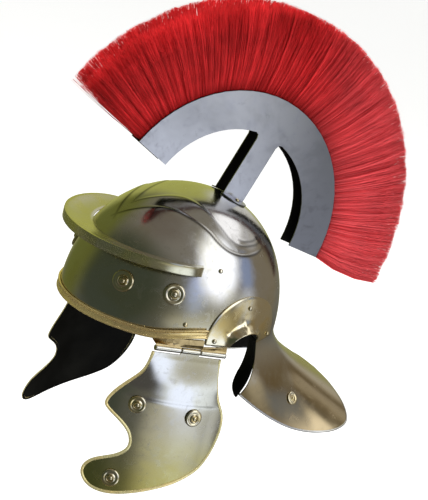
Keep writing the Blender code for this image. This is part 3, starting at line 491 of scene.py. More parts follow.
def line_distance(points, line):
    """Distance of each point to a line, and its place along the line from 0 to 1."""
    best = np.full(len(points), 1e9)
    along = np.zeros(len(points))
    last = len(line) - 1
    for i in range(last):
        run = line[i + 1] - line[i]
        t = np.clip(((points - line[i]) @ run) / (run @ run), 0.0, 1.0)
        gap = np.linalg.norm(points - line[i] - t[:, None] * run, axis=1)
        closer = gap < best
        best[closer] = gap[closer]
        along[closer] = (i + t[closer]) / last
    return best, along


def without_relief(points):
    """The points moved in or out from the middle to the bowl as it is without its brows."""
    size = sizes()
    around = np.hypot(points[:, 0] / size.bowl_half_width, points[:, 1] / size.bowl_half_length)
    rise = np.maximum(points[:, 2], 0.0) / size.bowl_height
    full = around ** size.bowl_fullness + rise ** size.bowl_fullness
    return points * (full ** (-1.0 / size.bowl_fullness))[:, None]


def brow_forms(points):
    """Height of the embossed brows, and how much painted shade each point gets along their creases."""
    size = sizes()
    points = without_relief(points)
    raised = np.zeros(len(points))
    groove = np.zeros(len(points))
    azimuth = np.degrees(np.arctan2(points[:, 0] / size.bowl_half_width,
                                    -points[:, 1] / size.bowl_half_length))
    level = points[:, 2] / size.bowl_height
    for table, weight in ((LOWER_BROW, 1.0), (UPPER_BROW, 0.7), (BROW_CURL, 0.5)):
        for side in (1, -1):
            spots = bowl_points(side * np.array([r[0] for r in table], float),
                                np.array([r[1] for r in table], float))
            near = np.linalg.norm(points - spots.mean(0), axis=1) < 0.14
            gap, along = line_distance(points[near], smooth_line(spots, 5))
            line_level = np.interp(side * azimuth[near], [r[0] for r in table], [r[1] for r in table])
            fade = np.clip(np.minimum(along, 1.0 - along) / 0.10, 0.0, 1.0) * weight
            width = np.where(level[near] > line_level, size.brow_crease, size.brow_width)
            raised[near] = np.maximum(raised[near], np.exp(-(gap / width) ** 2) * fade)
            groove[near] = np.maximum(groove[near], np.exp(-(gap / BROW_SHADE_WIDTH) ** 2) * np.sqrt(fade))
    return size.brow_relief * raised, groove


def nape_edge(per_span):
    """Front edge of the nape below the ear, as places along Y and Z."""
    return smooth_line([(EAR_CENTRE + EAR_HALF_WIDTH * b, -GUARD_DROP * d) for b, d in NAPE_EDGE], per_span)


def guard_edge_points(place):
    """Outer edge of the nape and neck guard; place runs from -1 to 1, ear to ear."""
    side = np.where(place >= 0.0, 1.0, -1.0)
    share = np.minimum(np.abs(place), 1.0)
    return np.stack((side * GUARD_HALF_WIDTH * table_line(GUARD_EDGE, 1)(share),
                     GUARD_REACH * table_line(GUARD_EDGE, 2)(share),
                     -GUARD_DROP * table_line(GUARD_EDGE, 3)(share)), axis=1)


def skirt_points(place, run):
    """Nape and neck guard: run goes from the bowl's rim, 0, to the outer edge, 1."""
    top = bowl_points(180.0 - place * SKIRT_AZIMUTH, 0.0 * place)
    edge = guard_edge_points(place)
    lower = top.copy()
    lower[:, 2] = -NAPE_DEPTH
    outer = edge + (lower - edge) * GUARD_SWEEP
    t = np.asarray(run)[:, None]
    a = top + (lower - top) * t
    b = lower + (outer - lower) * t
    c = outer + (edge - outer) * t
    ab = a + (b - a) * t
    bc = b + (c - b) * t
    return ab + (bc - ab) * t


def hinge_frame(side):
    """Matrix of a cheek hinge: X along the pin to the rear, Y down the cheek, Z outwards."""
    yaw = math.radians(HINGE_YAW)
    fall = math.radians(HINGE_FALL)
    along = Vector((side * math.sin(yaw) * math.cos(fall), math.cos(yaw) * math.cos(fall),
                    -math.sin(fall)))
    out = Vector((side * math.cos(yaw), -math.sin(yaw), 0.0)).normalized()
    down = (Vector((0, 0, -1)) - along * Vector((0, 0, -1)).dot(along)).normalized()
    out = (out - along * out.dot(along) - down * out.dot(down)).normalized()
    matrix = Matrix((along, down, out)).transposed().to_4x4()
    matrix.translation = Vector((side * (sizes().bowl_half_width - HINGE_INSET), HINGE_Y, -HINGE_DROP))
    return matrix


def cheek_matrix(side):
    return hinge_frame(side) @ Matrix.Rotation(-math.radians(CHEEK_LEAN), 4, "X")


def cheek_curl(u, v):
    half = CHEEK_WIDTH / 2
    middle = 0.15 * half
    front = np.maximum(0.0, middle - u) / half
    rear = np.maximum(0.0, u - middle) / half
    flare = CHEEK_FLARE * (v / CHEEK_DROP) ** 2
    t = np.clip(v / CHEEK_FLAT, 0.0, 1.0)
    ease = t * t * (3.0 - 2.0 * t)
    return (flare - CHEEK_FRONT_CURL * front * front - CHEEK_REAR_CURL * rear * rear) * ease


def cheek_outline(inset):
    line = smooth_line([(CHEEK_WIDTH * a, CHEEK_DROP * d) for a, d in CHEEK_OUTLINE], 5)
    ahead = np.vstack((line[1:], line[-1:]))
    behind = np.vstack((line[:1], line[:-1]))
    run = unit(ahead - behind)
    return line + np.stack((run[:, 1], -run[:, 0]), axis=1) * inset


def crest_points(across, angle, radius):
    """Points of the crest's fan: across it, angle from its leaning middle line, and radius."""
    lean = math.radians(CREST_LEAN)
    back = radius * np.sin(angle)
    up = radius * np.cos(angle)
    return np.stack((across + 0.0 * back,
                     CREST_CENTRE_Y + back * math.cos(lean) + up * math.sin(lean),
                     CREST_CENTRE_Z - back * math.sin(lean) + up * math.cos(lean)), axis=1)


# Finishes


class Nodes:
    """Short way to add and link shader nodes."""

    def __init__(self, tree):
        self.tree = tree

    def put(self, value, socket):
        """Link a socket, or set a plain value."""
        if isinstance(value, bpy.types.NodeSocket):
            self.tree.links.new(value, socket)
        else:
            socket.default_value = value

    def add(self, kind, values=None, **settings):
        node = self.tree.nodes.new(kind)
        for key, value in settings.items():
            setattr(node, key, value)
        for key, value in (values or {}).items():
            self.put(value, node.inputs[key])
        return node

    def noise(self, vector, scale, detail=3.0, rough=0.5, distortion=0.0):
        return self.add("ShaderNodeTexNoise", {"Vector": vector, "Scale": scale, "Detail": detail,
                                               "Roughness": rough, "Distortion": distortion}).outputs[0]

    def spread(self, value, low, high, to_low=0.0, to_high=1.0):
        return self.add("ShaderNodeMapRange", {"Value": value, "From Min": low, "From Max": high,
                                               "To Min": to_low, "To Max": to_high},
                        interpolation_type="SMOOTHSTEP").outputs[0]

    def blend(self, factor, first, second):
        node = self.add("ShaderNodeMix", data_type="RGBA")
        for key, value in ((0, factor), (6, first), (7, second)):
            self.put((*value, 1.0) if isinstance(value, tuple) else value, node.inputs[key])
        return node.outputs[2]

    def math(self, operation, first, second=0.0):
        return self.add("ShaderNodeMath", {0: first, 1: second}, operation=operation).outputs[0]

    def part(self, vector, axis):
        return self.add("ShaderNodeSeparateXYZ", {"Vector": vector}).outputs[axis]

    def stretch(self, vector, scale, turn=(0.0, 0.0, 0.0)):
        return self.add("ShaderNodeMapping", {"Vector": vector, "Scale": scale, "Rotation": turn}).outputs[0]

    def bump(self, height, strength, distance, under=None):
        values = {"Height": height, "Strength": strength, "Distance": distance}
        if under is not None:
            values["Normal"] = under
        return self.add("ShaderNodeBump", values).outputs[0]

    def finish(self, **values):
        """Feed the material's shader."""
        shader = self.tree.nodes["Principled BSDF"]
        for label, value in values.items():
            self.put(value, shader.inputs[label.replace("_", " ")])


def effect_group(name, inputs, outputs, build):
    """Node group with float inputs and named outputs, built once."""
    found = bpy.data.node_groups.get(name)
    if found:
        return found
    tree = bpy.data.node_groups.new(name, "ShaderNodeTree")
    tree.interface.new_socket("Vector", in_out="INPUT", socket_type="NodeSocketVector")
    for label, default in inputs:
        socket = tree.interface.new_socket(label, in_out="INPUT", socket_type="NodeSocketFloat")
        socket.default_value = default
    for label in outputs:
        tree.interface.new_socket(label, in_out="OUTPUT", socket_type="NodeSocketFloat")
    nodes = Nodes(tree)
    start = tree.nodes.new("NodeGroupInput")
    end = tree.nodes.new("NodeGroupOutput")
    for label, socket in zip(outputs, build(nodes, start.outputs)):
        tree.links.new(socket, end.inputs[label])
    return tree


def handling_group():
    """Cloudy film, small smears and fine scratches on metal that is handled."""

    def build(nodes, given):
        vector = given["Vector"]
        cloud = nodes.noise(vector, given["Cloud scale"], 4.0, 0.6, 0.4)
        film = nodes.spread(cloud, 0.38, 0.68)
        smear = nodes.spread(nodes.noise(vector, 95.0, 3.0, 0.55, 1.2), 0.45, 0.75)
        scratch = nodes.noise(nodes.stretch(vector, (1.0, 1.0, 0.06), (0.5, 0.7, 0.2)), 900.0, 2.0, 0.7)
        return film, smear, scratch
    return effect_group("handled metal", [("Cloud scale", 14.0)], ("Film", "Smear", "Scratch"), build)


def new_material(name):
    material = bpy.data.materials.new(name)
    material.use_nodes = True
    nodes = Nodes(material.node_tree)
    return material, nodes, nodes.add("ShaderNodeTexCoord").outputs["Object"]


def handling(nodes, place, cloud_scale):
    node = nodes.add("ShaderNodeGroup", node_tree=handling_group())
    nodes.put(place, node.inputs["Vector"])
    nodes.put(cloud_scale, node.inputs["Cloud scale"])
    return node.outputs


# Colours clean and tarnished, share of the tarnished one, roughness from and to, dents, cloud
# scale, how far the whole leans to the tarnished colour, and metallic.
METALS = {
    "bowl_steel": ("steel", "steel_warm", 1.0, 0.15, 0.25, 0.35, 14.0, 0.0, 1.0),
    "cheek_steel": ("steel", "steel_warm", 1.0, 0.16, 0.26, 0.35, 14.0, 0.0, 1.0),
    "plain_steel": ("steel", "steel_warm", 1.0, 0.12, 0.24, 0.35, 14.0, 0.0, 1.0),
    "peak_steel": ("steel_warm", "steel_yellow", 0.9, 0.16, 0.26, 0.10, 14.0, 0.1, 0.97),
    "rim_brass": ("brass", "brass_dull", 1.0, 0.16, 0.28, 0.15, 30.0, 0.0, 0.86),
    "edging_brass": ("edging", "brass", 1.0, 0.22, 0.36, 0.10, 24.0, 0.0, 0.7),
    "pale_brass": ("brass_pale", "brass", 1.0, 0.14, 0.28, 0.40, 24.0, 0.0, 1.0),
    "hinge_copper": ("brass_dull", "brass_dull", 0.7, 0.24, 0.36, 0.30, 30.0, 0.0, 1.0),
}

# Colours towards the bottom: the height where each starts, the height where it is full, and its colour.
HEIGHT_TINTS = {
    "bowl_steel": (-20 * MM, -62 * MM, "steel_brown"),
    "cheek_steel": (-85 * MM, -165 * MM, "steel_yellow"),
}


# Colour of the painted shade in the brows' creases.
CREASE_SHADE_COLOUR = (0.030, 0.026, 0.021)


def metal_material(name):
    """Polished sheet with clouds of tarnish, specks, shallow dents and fine scratches."""
    clean, tarnished, share, rough_low, rough_high, dent, cloud, lean, metallic = METALS[name]
    material, nodes, place = new_material(name)
    handled = handling(nodes, place, cloud)
    tint_share = nodes.spread(handled["Film"], 0.0, 1.0, 0.0 + lean, 0.75 + lean)
    colour = nodes.blend(tint_share, shade(clean), shade(tarnished, share))
    # Bowl and cheek steel change colour towards the bottom.
    if name in HEIGHT_TINTS:
        start, full, stain = HEIGHT_TINTS[name]
        height = nodes.part(place, "Z")
        height = nodes.math("ADD", height, nodes.spread(handled["Film"], 0.0, 1.0, -9 * MM, 9 * MM))
        colour = nodes.blend(nodes.spread(height, full, start, 1.0, 0.0), colour, shade(stain))
    if name == "bowl_steel":
        # Painted shade: the colour is darkened along the brows' creases.
        groove = nodes.add("ShaderNodeAttribute", attribute_name="groove").outputs["Fac"]
        colour = nodes.blend(groove, colour, CREASE_SHADE_COLOUR)
    speck = nodes.spread(nodes.noise(place, 420.0, 2.0, 0.6), 0.66, 0.74, 0.0, 0.35)
    colour = nodes.blend(speck, colour, shade(tarnished, 0.45 * share))
    rough = nodes.math("ADD", nodes.spread(handled["Smear"], 0.0, 1.0, rough_low, rough_high),
                       nodes.spread(handled["Film"], 0.0, 1.0, 0.0, 0.06))
    dents = nodes.bump(nodes.noise(place, 32.0, 1.0, 0.4), dent, 0.4 * MM)
    fine = nodes.bump(handled["Scratch"], 0.15 * dent, 0.03 * MM, dents)
    nodes.finish(Base_Color=colour, Roughness=rough, Metallic=metallic, Normal=fine)
    return material


def satin_material():
    """Rolled grey sheet with a few stains, and painted shade that darkens it to the rear."""
    material, nodes, place = new_material("satin_sheet")
    handled = handling(nodes, place, 11.0)
    base = nodes.blend(handled["Film"], shade("satin"), shade("satin", 0.72))
    stain = nodes.spread(nodes.noise(place, 60.0, 5.0, 0.65, 0.6), 0.60, 0.72, 0.0, 0.45)
    base = nodes.blend(stain, base, shade("satin", 0.5))
    # Painted shade: the sheet darkens towards the rear.
    back = nodes.math("ADD", nodes.part(place, "Y"),
                      nodes.spread(handled["Film"], 0.0, 1.0, -12 * MM, 12 * MM))
    base = nodes.blend(nodes.spread(back, -20 * MM, 150 * MM), base, shade("satin", 0.34))
    waves = nodes.bump(nodes.noise(place, 22.0, 1.0, 0.4), 0.25, 0.4 * MM)
    nodes.finish(Base_Color=base, Roughness=nodes.spread(handled["Smear"], 0.0, 1.0, 0.30, 0.46),
                 Metallic=1.0, Normal=nodes.bump(handled["Scratch"], 0.22, 0.04 * MM, waves))
    return material


def paint_material():
    """Brushed-on black paint, a little uneven."""
    material, nodes, place = new_material("black_paint")
    cloud = nodes.spread(nodes.noise(place, 26.0, 4.0, 0.6), 0.35, 0.75)
    strokes = nodes.noise(nodes.stretch(place, (1.0, 1.0, 0.2)), 240.0, 3.0, 0.6)
    brushed = nodes.bump(strokes, 0.3, 0.15 * MM)
    nodes.finish(Base_Color=nodes.blend(cloud, shade("paint"), shade("paint", 2.2)),
                 Roughness=nodes.spread(cloud, 0.0, 1.0, 0.42, 0.68), Specular_IOR_Level=0.04,
                 Normal=brushed)
    return material


def wood_material():
    """Black stained wood with its grain along the arc."""
    material, nodes, place = new_material("black_wood")
    lines = nodes.noise(nodes.stretch(place, (5.0, 0.6, 1.0)), 190.0, 4.0, 0.65, 0.4)
    base = nodes.blend(nodes.spread(lines, 0.35, 0.7), (0.010, 0.009, 0.008), (0.034, 0.028, 0.024))
    nodes.finish(Base_Color=base, Roughness=nodes.spread(lines, 0.3, 0.7, 0.55, 0.8),
                 Normal=nodes.bump(lines, 0.5, 0.2 * MM))
    return material


def bristle_material():
    """Dyed bristle: each strand has its own tone; painted shade darkens it at its root and painted light makes it
    paler to the rear.
    """
    material, nodes, place = new_material("red_bristle")
    layout = nodes.add("ShaderNodeUVMap", uv_map="strand").outputs[0]
    tone = nodes.part(layout, "X")
    red = nodes.blend(tone, shade("bristle", 0.45), (1.2 * shade("bristle")[0], 0.030, 0.034))
    clump = nodes.spread(nodes.noise(place, 34.0, 2.0, 0.5), 0.30, 0.62, 0.40, 0.0)
    red = nodes.blend(clump, red, shade("bristle_dark"))
    # Painted shade: each strand darkens towards its root.
    root = nodes.spread(nodes.part(layout, "Y"), 0.0, 0.22, 0.70, 0.0)
    red = nodes.blend(root, red, shade("bristle_dark"))
    # Painted light: the red turns paler towards the rear.
    lit_rear_red = nodes.blend(tone, (0.70, 0.050, 0.060), (1.0, 0.17, 0.19))
    red = nodes.blend(nodes.spread(nodes.part(place, "Y"), 70 * MM, 215 * MM, 0.0, 0.62), red, lit_rear_red)
    nodes.finish(Base_Color=red, Roughness=nodes.spread(tone, 0.0, 1.0, 0.46, 0.60),
                 Specular_IOR_Level=0.12)
    return material


def core_material():
    """Red mass of bristles between the strands, darkened as painted shade."""
    material, nodes = new_material("bristle_core")[:2]
    angle = nodes.add("ShaderNodeUVMap", uv_map="strand").outputs[0]
    lines = nodes.noise(nodes.stretch(angle, (420.0, 3.0, 1.0)), 1.0, 3.0, 0.7)
    dark = "bristle_dark"
    base = nodes.blend(nodes.spread(lines, 0.35, 0.7), shade(dark, 0.6), shade(dark, 1.6))
    nodes.finish(Base_Color=base, Roughness=0.85, Normal=nodes.bump(lines, 0.8, 0.6 * MM))
    return material


MAKERS = {
    "satin_sheet": satin_material, "black_paint": paint_material, "black_wood": wood_material,
    "red_bristle": bristle_material, "bristle_core": core_material,
}


FINISHES = {}


def finish(name):
    """Material of that name, made when it is first asked for."""
    if name not in FINISHES:
        FINISHES[name] = metal_material(name) if name in METALS else MAKERS[name]()
    return FINISHES[name]


def paint_faces(obj, inner):
    """Black paint, the second material, on the faces for which inner is true."""
    obj.data.materials.append(finish("black_paint"))
    for face in obj.data.polygons:
        face.material_index = 1 if inner(face) else 0


# Pieces


class HELMET_OT_skull(bpy.types.Operator):
    """Bowl with embossed brows, nape and neck guard in one sheet, painted black inside"""
    bl_idname = "helmet.skull"
    bl_label = "Skull"

    def execute(self, context):
        size = sizes()

        def on_bowl(u, v):
            rise = np.interp(np.clip(v, 0.0, 1.0), (0.0, 0.20, 0.90, 1.0), (0.0, 0.40, 0.84, 1.0))
            lift = np.sin(0.5 * math.pi * rise) ** (2.0 / size.bowl_fullness)
            points = bowl_points(-180.0 + 360.0 * u + SKIRT_AZIMUTH, lift)
            return points + bowl_normals(points) * brow_forms(points)[0][:, None]

        shell = grid_piece("skull_shell", 288, 120, on_bowl)
        skirt = grid_piece("skirt", 104, 44, lambda u, v: skirt_points(1.0 - 2.0 * u, v))
        pick(shell)
        skirt.select_set(True)
        bpy.ops.object.join()
        merge_doubles(shell, 0.02 * MM)
        face_outwards(shell)
        if shell.data.polygons[0].normal.dot(shell.data.polygons[0].center) < 0.0:
            shell.data.flip_normals()
        shell.data.materials.append(finish("bowl_steel"))
        shell.data.materials.append(finish("black_paint"))
        sheet = shell.modifiers.new("Sheet", "SOLIDIFY")
        sheet.thickness = size.sheet
        sheet.offset = -1.0
        sheet.use_even_offset = True
        sheet.material_offset = 1
        sheet.material_offset_rim = 0
        apply_all(shell)
        cut_with(shell, self.ear_cutter(), "DIFFERENCE")
        # Painted shade along the brows' creases, kept on the points for the bowl's colour.
        groove = shell.data.attributes.new("groove", "FLOAT", "POINT")
        points = get_points(shell)
        depth = np.where(points[:, 2] > 0.3 * size.bowl_height, brow_forms(points)[1], 0.0)
        groove.data.foreach_set("value", (0.85 * depth).astype(np.float32))
        smooth(shell, 40.0)
        finish_piece(shell, "helmet", None, ["skull"])
        return {"FINISHED"}

    def ear_cutter(self):
        """Prism through both sides with the outline of the ear cuts and the nape's front edge."""
        size = sizes()
        angle = np.linspace(0.0, math.pi, 41)
        arch = np.stack((EAR_CENTRE - EAR_HALF_WIDTH * np.cos(angle), EAR_HEIGHT * np.sin(angle)),
                        axis=1)
        edge = nape_edge(8)
        bottom = -1.1 * GUARD_DROP
        foot = np.array([(edge[-1][0], bottom), (EAR_CENTRE - EAR_HALF_WIDTH, bottom)])
        outline = np.vstack((arch, edge[1:], foot))
        reach = 1.4 * size.bowl_half_width
        cutter = outline_solid("ear_cutter", outline, -reach, reach)
        points = get_points(cutter)
        set_points(cutter, np.stack((points[:, 2], points[:, 0], points[:, 1]), axis=1))
        return face_outwards(cutter)


class HELMET_OT_nape_returns(bpy.types.Operator):
    """Black painted return of the sheet behind each ear"""
    bl_idname = "helmet.nape_returns"
    bl_label = "Nape returns"

    def execute(self, context):
        size = sizes()
        edge = nape_edge(6)[:-3]
        along = np.linspace(0.0, 1.0, len(edge))
        for label, side in SIDES:

            def inwards(u, v):
                y = np.interp(v, along, edge[:, 0])
                z = np.interp(v, along, edge[:, 1])
                outer = size.bowl_half_width * (1.0 - (y / size.bowl_half_length) ** 2) ** 0.5
                x = outer - 1.0 * MM + 3.5 * MM * np.clip(-z / (60 * MM), 0.0, 1.0)
                back = 3.0 * MM * u * u
                ends = np.sqrt(np.clip(1.0 - ((v - 0.66) / 0.36) ** 2, 0.02, 1.0))
                reach = NAPE_RETURN * np.where(v > 0.66, ends, 0.76 + 0.36 * v)
                return np.stack((side * (x - reach * u), y + 0.6 * MM + back, z + 0.0 * u), axis=1)

            strip = grid_piece(f"nape_return_{label}", 14, 30, inwards)
            strip.data.materials.append(finish("black_paint"))
            wall = strip.modifiers.new("Sheet", "SOLIDIFY")
            wall.thickness = size.sheet
            wall.offset = 0.0
            apply_all(strip)
            face_outwards(bevel_edges(strip, 0.3 * MM, 2, 50.0))
            smooth(strip, 40.0)
            finish_piece(strip, "helmet", None)
        return {"FINISHED"}


class HELMET_OT_neck_bead(bpy.types.Operator):
    """Rolled edge along the neck guard"""
    bl_idname = "helmet.neck_bead"
    bl_label = "Neck guard bead"

    def execute(self, context):
        def around(u, v):
            place = -0.985 + 1.97 * u
            edge = guard_edge_points(place)
            run = unit(guard_edge_points(place + 0.004) - guard_edge_points(place - 0.004))
            inner = skirt_points(place, np.full_like(place, 0.97))
            into = unit(inner - edge)
            into = unit(into - run * np.sum(into * run, axis=1, keepdims=True))
            up = np.cross(run, into)
            turn = 2.0 * math.pi * v
            centre = edge + into * 0.35 * MM - up * 0.65 * MM * np.sign(up[:, 2:3])
            return centre + GUARD_BEAD * (into * np.cos(turn)[:, None] + up * np.sin(turn)[:, None])

        bead = grid_piece("neck_guard_bead", 220, 12, around)
        smooth(close_ends(merge_doubles(bead, 0.005 * MM)), 50.0)
        finish_piece(bead, "helmet", finish("plain_steel"))
        return {"FINISHED"}


class HELMET_OT_brow_peak(bpy.types.Operator):
    """Crescent plate over the brow"""
    bl_idname = "helmet.brow_peak"
    bl_label = "Brow peak"

    def execute(self, context):
        peak = refined_copy("brow_peak", "peak_plate", 2)
        smooth(bevel_edges(peak, 0.25 * MM, 2, 50.0), 40.0)
        finish_piece(peak, "helmet", finish("peak_steel"), ["brow_peak"])
        return {"FINISHED"}


class HELMET_OT_brow_band(bpy.types.Operator):
    """Beaded brass strip along the brow"""
    bl_idname = "helmet.brow_band"
    bl_label = "Brow band"

    def execute(self, context):
        band = refined_copy("brow_band", "brow_strip", 2, 75.0)
        smooth(band, 60.0)
        finish_piece(band, "helmet", finish("rim_brass"), ["brow_band"])
        return {"FINISHED"}


class HELMET_OT_ear_guards(bpy.types.Operator):
    """Brass plates with flanges over the ears"""
    bl_idname = "helmet.ear_guards"
    bl_label = "Ear guards"

    def execute(self, context):
        for label in ("left", "right"):
            guard = refined_copy(f"ear_guard_{label}", f"ear_plate_{label}", 2, 55.0)
            smooth(guard, 45.0)
            finish_piece(guard, "helmet", finish("pale_brass"), [f"ear_guard_{label}"])
        return {"FINISHED"}


class HELMET_OT_hinges(bpy.types.Operator):
    """Rolled knuckles round the hinge pins, and the upper leaves' finish"""
    bl_idname = "helmet.hinges"
    bl_label = "Cheek hinges"

    def execute(self, context):
        half = HINGE_LENGTH / 2
        middle = KNUCKLE_MIDDLE / 2
        spans = (("front", -half, -middle - KNUCKLE_PLAY, "helmet"),
                 ("middle", -middle, middle, "cheek"),
                 ("rear", middle + KNUCKLE_PLAY, half, "helmet"))
        for label, side in SIDES:
            for place, start, end, carrier in spans:
                knuckle = self.knuckle(f"knuckle_{label}_{place}", (end - start) / 2)
                centre = Matrix.Translation(((start + end) / 2, 0.0, 0.0))
                turn = Matrix.Rotation(math.pi / 2, 4, "Y")
                knuckle.matrix_world = hinge_frame(side) @ centre @ turn
                settle(knuckle)
                if side < 0:
                    face_outwards(knuckle)
                smooth(knuckle, 35.0)
                body = f"cheek_{label}" if carrier == "cheek" else "helmet"
                finish_piece(knuckle, body, finish("plain_steel"))
            for node in (f"hinge_leaf_{label}", f"hinge_pin_{label}"):
                metal = finish("hinge_copper") if "leaf" in node else finish("plain_steel")
                obj = frame["nodes"][node]
                obj.data.materials.clear()
                obj.data.materials.append(metal)
        return {"FINISHED"}

    def knuckle(self, name, half):
        """Tube with a rolled lip and a shallow seam at each end."""
        radius = KNUCKLE_RADIUS + 0.08 * MM
        bore = PIN_RADIUS + 0.25 * MM
        rim = 0.5 * MM
        profile = [(bore, -half), (radius - rim, -half), (radius - 0.3 * rim, -half + 0.12 * rim),
                   (radius, -half + 0.6 * rim), (radius, -half + 4.0 * rim),
                   (radius, half - 4.0 * rim), (radius, half - 0.6 * rim),
                   (radius - 0.3 * rim, half - 0.12 * rim), (radius - rim, half), (bore, half)]
        return turned_piece(name, profile, 32, tube=True)


class HELMET_OT_cheek_plates(bpy.types.Operator):
    """Curved cheek plates with their brass edging"""
    bl_idname = "helmet.cheek_plates"
    bl_label = "Cheek plates"

    def execute(self, context):
        for label, side in SIDES:
            self.plate(label, side)
            trim = refined_copy(f"cheek_trim_{label}", f"cheek_edging_{label}", 2, 80.0, 0.9)
            trim.data.materials.append(finish("edging_brass"))
            paint_faces(trim, lambda face: face.normal.x * side < -0.55)
            smooth(trim, 60.0)
            finish_piece(trim, f"cheek_{label}", None, [f"cheek_trim_{label}"])
        return {"FINISHED"}

    def plate(self, label, side):
        size = sizes()
        line = cheek_outline(CHEEK_TRIM * 0.55)
        line[0, 1] = CHEEK_TOP
        line[-1, 1] = CHEEK_TOP
        tongue = KNUCKLE_MIDDLE / 2
        low = 0.4 * KNUCKLE_RADIUS
        outline = np.vstack((line, [(tongue, CHEEK_TOP), (tongue, low), (-tongue, low),
                                    (-tongue, CHEEK_TOP)]))
        prism = outline_solid("prism", outline, -3 * size.sheet, 3 * size.sheet)
        span = 1.25 * CHEEK_WIDTH
        drop = 1.15 * CHEEK_DROP
        plate = grid_piece(f"cheek_sheet_{label}", 76, 150,
                           lambda u, v: np.stack(((u - 0.5) * span + 0.31 * MM,
                                                  (v - 0.04) * drop + 0.17 * MM,
                                                  0.0 * u - size.sheet / 2), axis=1))
        cut_with(thicken(plate, size.sheet), prism, "INTERSECT")
        plate.data.materials.clear()
        plate.data.materials.append(finish("cheek_steel"))
        paint_faces(plate, lambda face: face.normal.z < -0.5)
        points = get_points(plate)
        u, v, out = points.T
        lifted = np.stack((u, v, cheek_curl(u, v) + out + self.relief(u, v)), axis=1)
        matrix = np.array(cheek_matrix(side))
        set_points(plate, lifted @ matrix[:3, :3].T + matrix[:3, 3])
        if side < 0:
            plate.data.flip_normals()
        smooth(plate, 40.0)
        finish_piece(plate, f"cheek_{label}", None, [f"cheek_plate_{label}"])

    def relief(self, u, v):
        """Swell below the hinge that ends in a creased step across the plate."""
        place = v / CHEEK_DROP
        spread = np.where(place < CHEEK_SWELL_AT, 0.135, 0.095)
        swell = np.exp(-((place - CHEEK_SWELL_AT) / spread) ** 2) * np.clip(place / 0.06, 0.0, 1.0)
        step = 1.0 / (1.0 + np.exp(-(v - CHEEK_STEP_AT * CHEEK_DROP) / (0.8 * MM)))
        flank = np.clip((0.42 * CHEEK_WIDTH - np.abs(u)) / (0.12 * CHEEK_WIDTH), 0.0, 1.0)
        return (CHEEK_SWELL * swell - CHEEK_STEP * step) * flank * flank * (3.0 - 2.0 * flank)


class HELMET_OT_bosses(bpy.types.Operator):
    """Ringed brass bosses, and the domed rivets"""
    bl_idname = "helmet.bosses"
    bl_label = "Bosses and rivets"

    def execute(self, context):
        for node, obj in sorted(frame["nodes"].items()):
            if "_boss_" in node or node.startswith("rivet_"):
                self.seat(node, obj)
        return {"FINISHED"}

    def seat(self, node, cad):
        base, axis, radius = self.seat_of(cad)
        boss = "_boss_" in node
        name = node.replace("boss", "roundel") if boss else node.replace("rivet", "stud")
        profile = [(radius * r, radius * h) for r, h in (BOSS_PROFILE if boss else RIVET_PROFILE)]
        piece = turned_piece(name, profile, 48 if boss else 24)
        helper = Vector((0, 0, 1)) if abs(axis.z) < 0.9 else Vector((0, 1, 0))
        x_axis = helper.cross(axis).normalized()
        turn = Matrix((x_axis, axis.cross(x_axis), axis)).transposed().to_4x4()
        turn.translation = base
        piece.matrix_world = turn
        settle(piece)
        smooth(piece, 50.0)
        finish_piece(piece, cad["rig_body"], finish("pale_brass"), [node])

    def seat_of(self, cad):
        """Base point, axis and radius of a turned CAD node, whose base is its widest ring."""
        points = np.unique(get_points(cad).round(7), axis=0)
        middle = points.mean(0)
        axis = np.linalg.eigh(np.cov((points - middle).T))[1][:, 0]
        height = (points - middle) @ axis
        slack = 0.08 * MM
        if (height > height.max() - slack).sum() > (height < height.min() + slack).sum():
            axis = -axis
            height = -height
        low = points[height < height.min() + slack]
        reach = np.linalg.norm(low - low.mean(0), axis=1)
        ring = low[reach > 0.5 * reach.max()]
        base = ring.mean(0)
        return Vector(base), Vector(axis), float(np.linalg.norm(ring - base, axis=1).mean())


class HELMET_OT_crest_holder(bpy.types.Operator):
    """Grey crest plates and the black wooden back of the brush"""
    bl_idname = "helmet.crest_holder"
    bl_label = "Crest holder"

    def execute(self, context):
        for label in ("left", "right"):
            plate = refined_copy(f"crest_plate_{label}", f"crest_sheet_{label}", 0)
            keep_flats(smooth(bevel_edges(plate, 0.2 * MM, 2, 50.0), 35.0))
            plate.data.materials.append(finish("satin_sheet"))
            inward = -1.0 if label == "left" else 1.0
            paint_faces(plate, lambda face: face.normal.x * inward > 0.8 and face.center.z > 0.15)
            finish_piece(plate, "helmet", None, [f"crest_plate_{label}"])
        block = refined_copy("crest_block", "crest_wood", 0)
        smooth(bevel_edges(block, 0.5 * MM, 2, 50.0), 35.0)
        finish_piece(block, "helmet", finish("black_wood"), ["crest_block"])
        return {"FINISHED"}


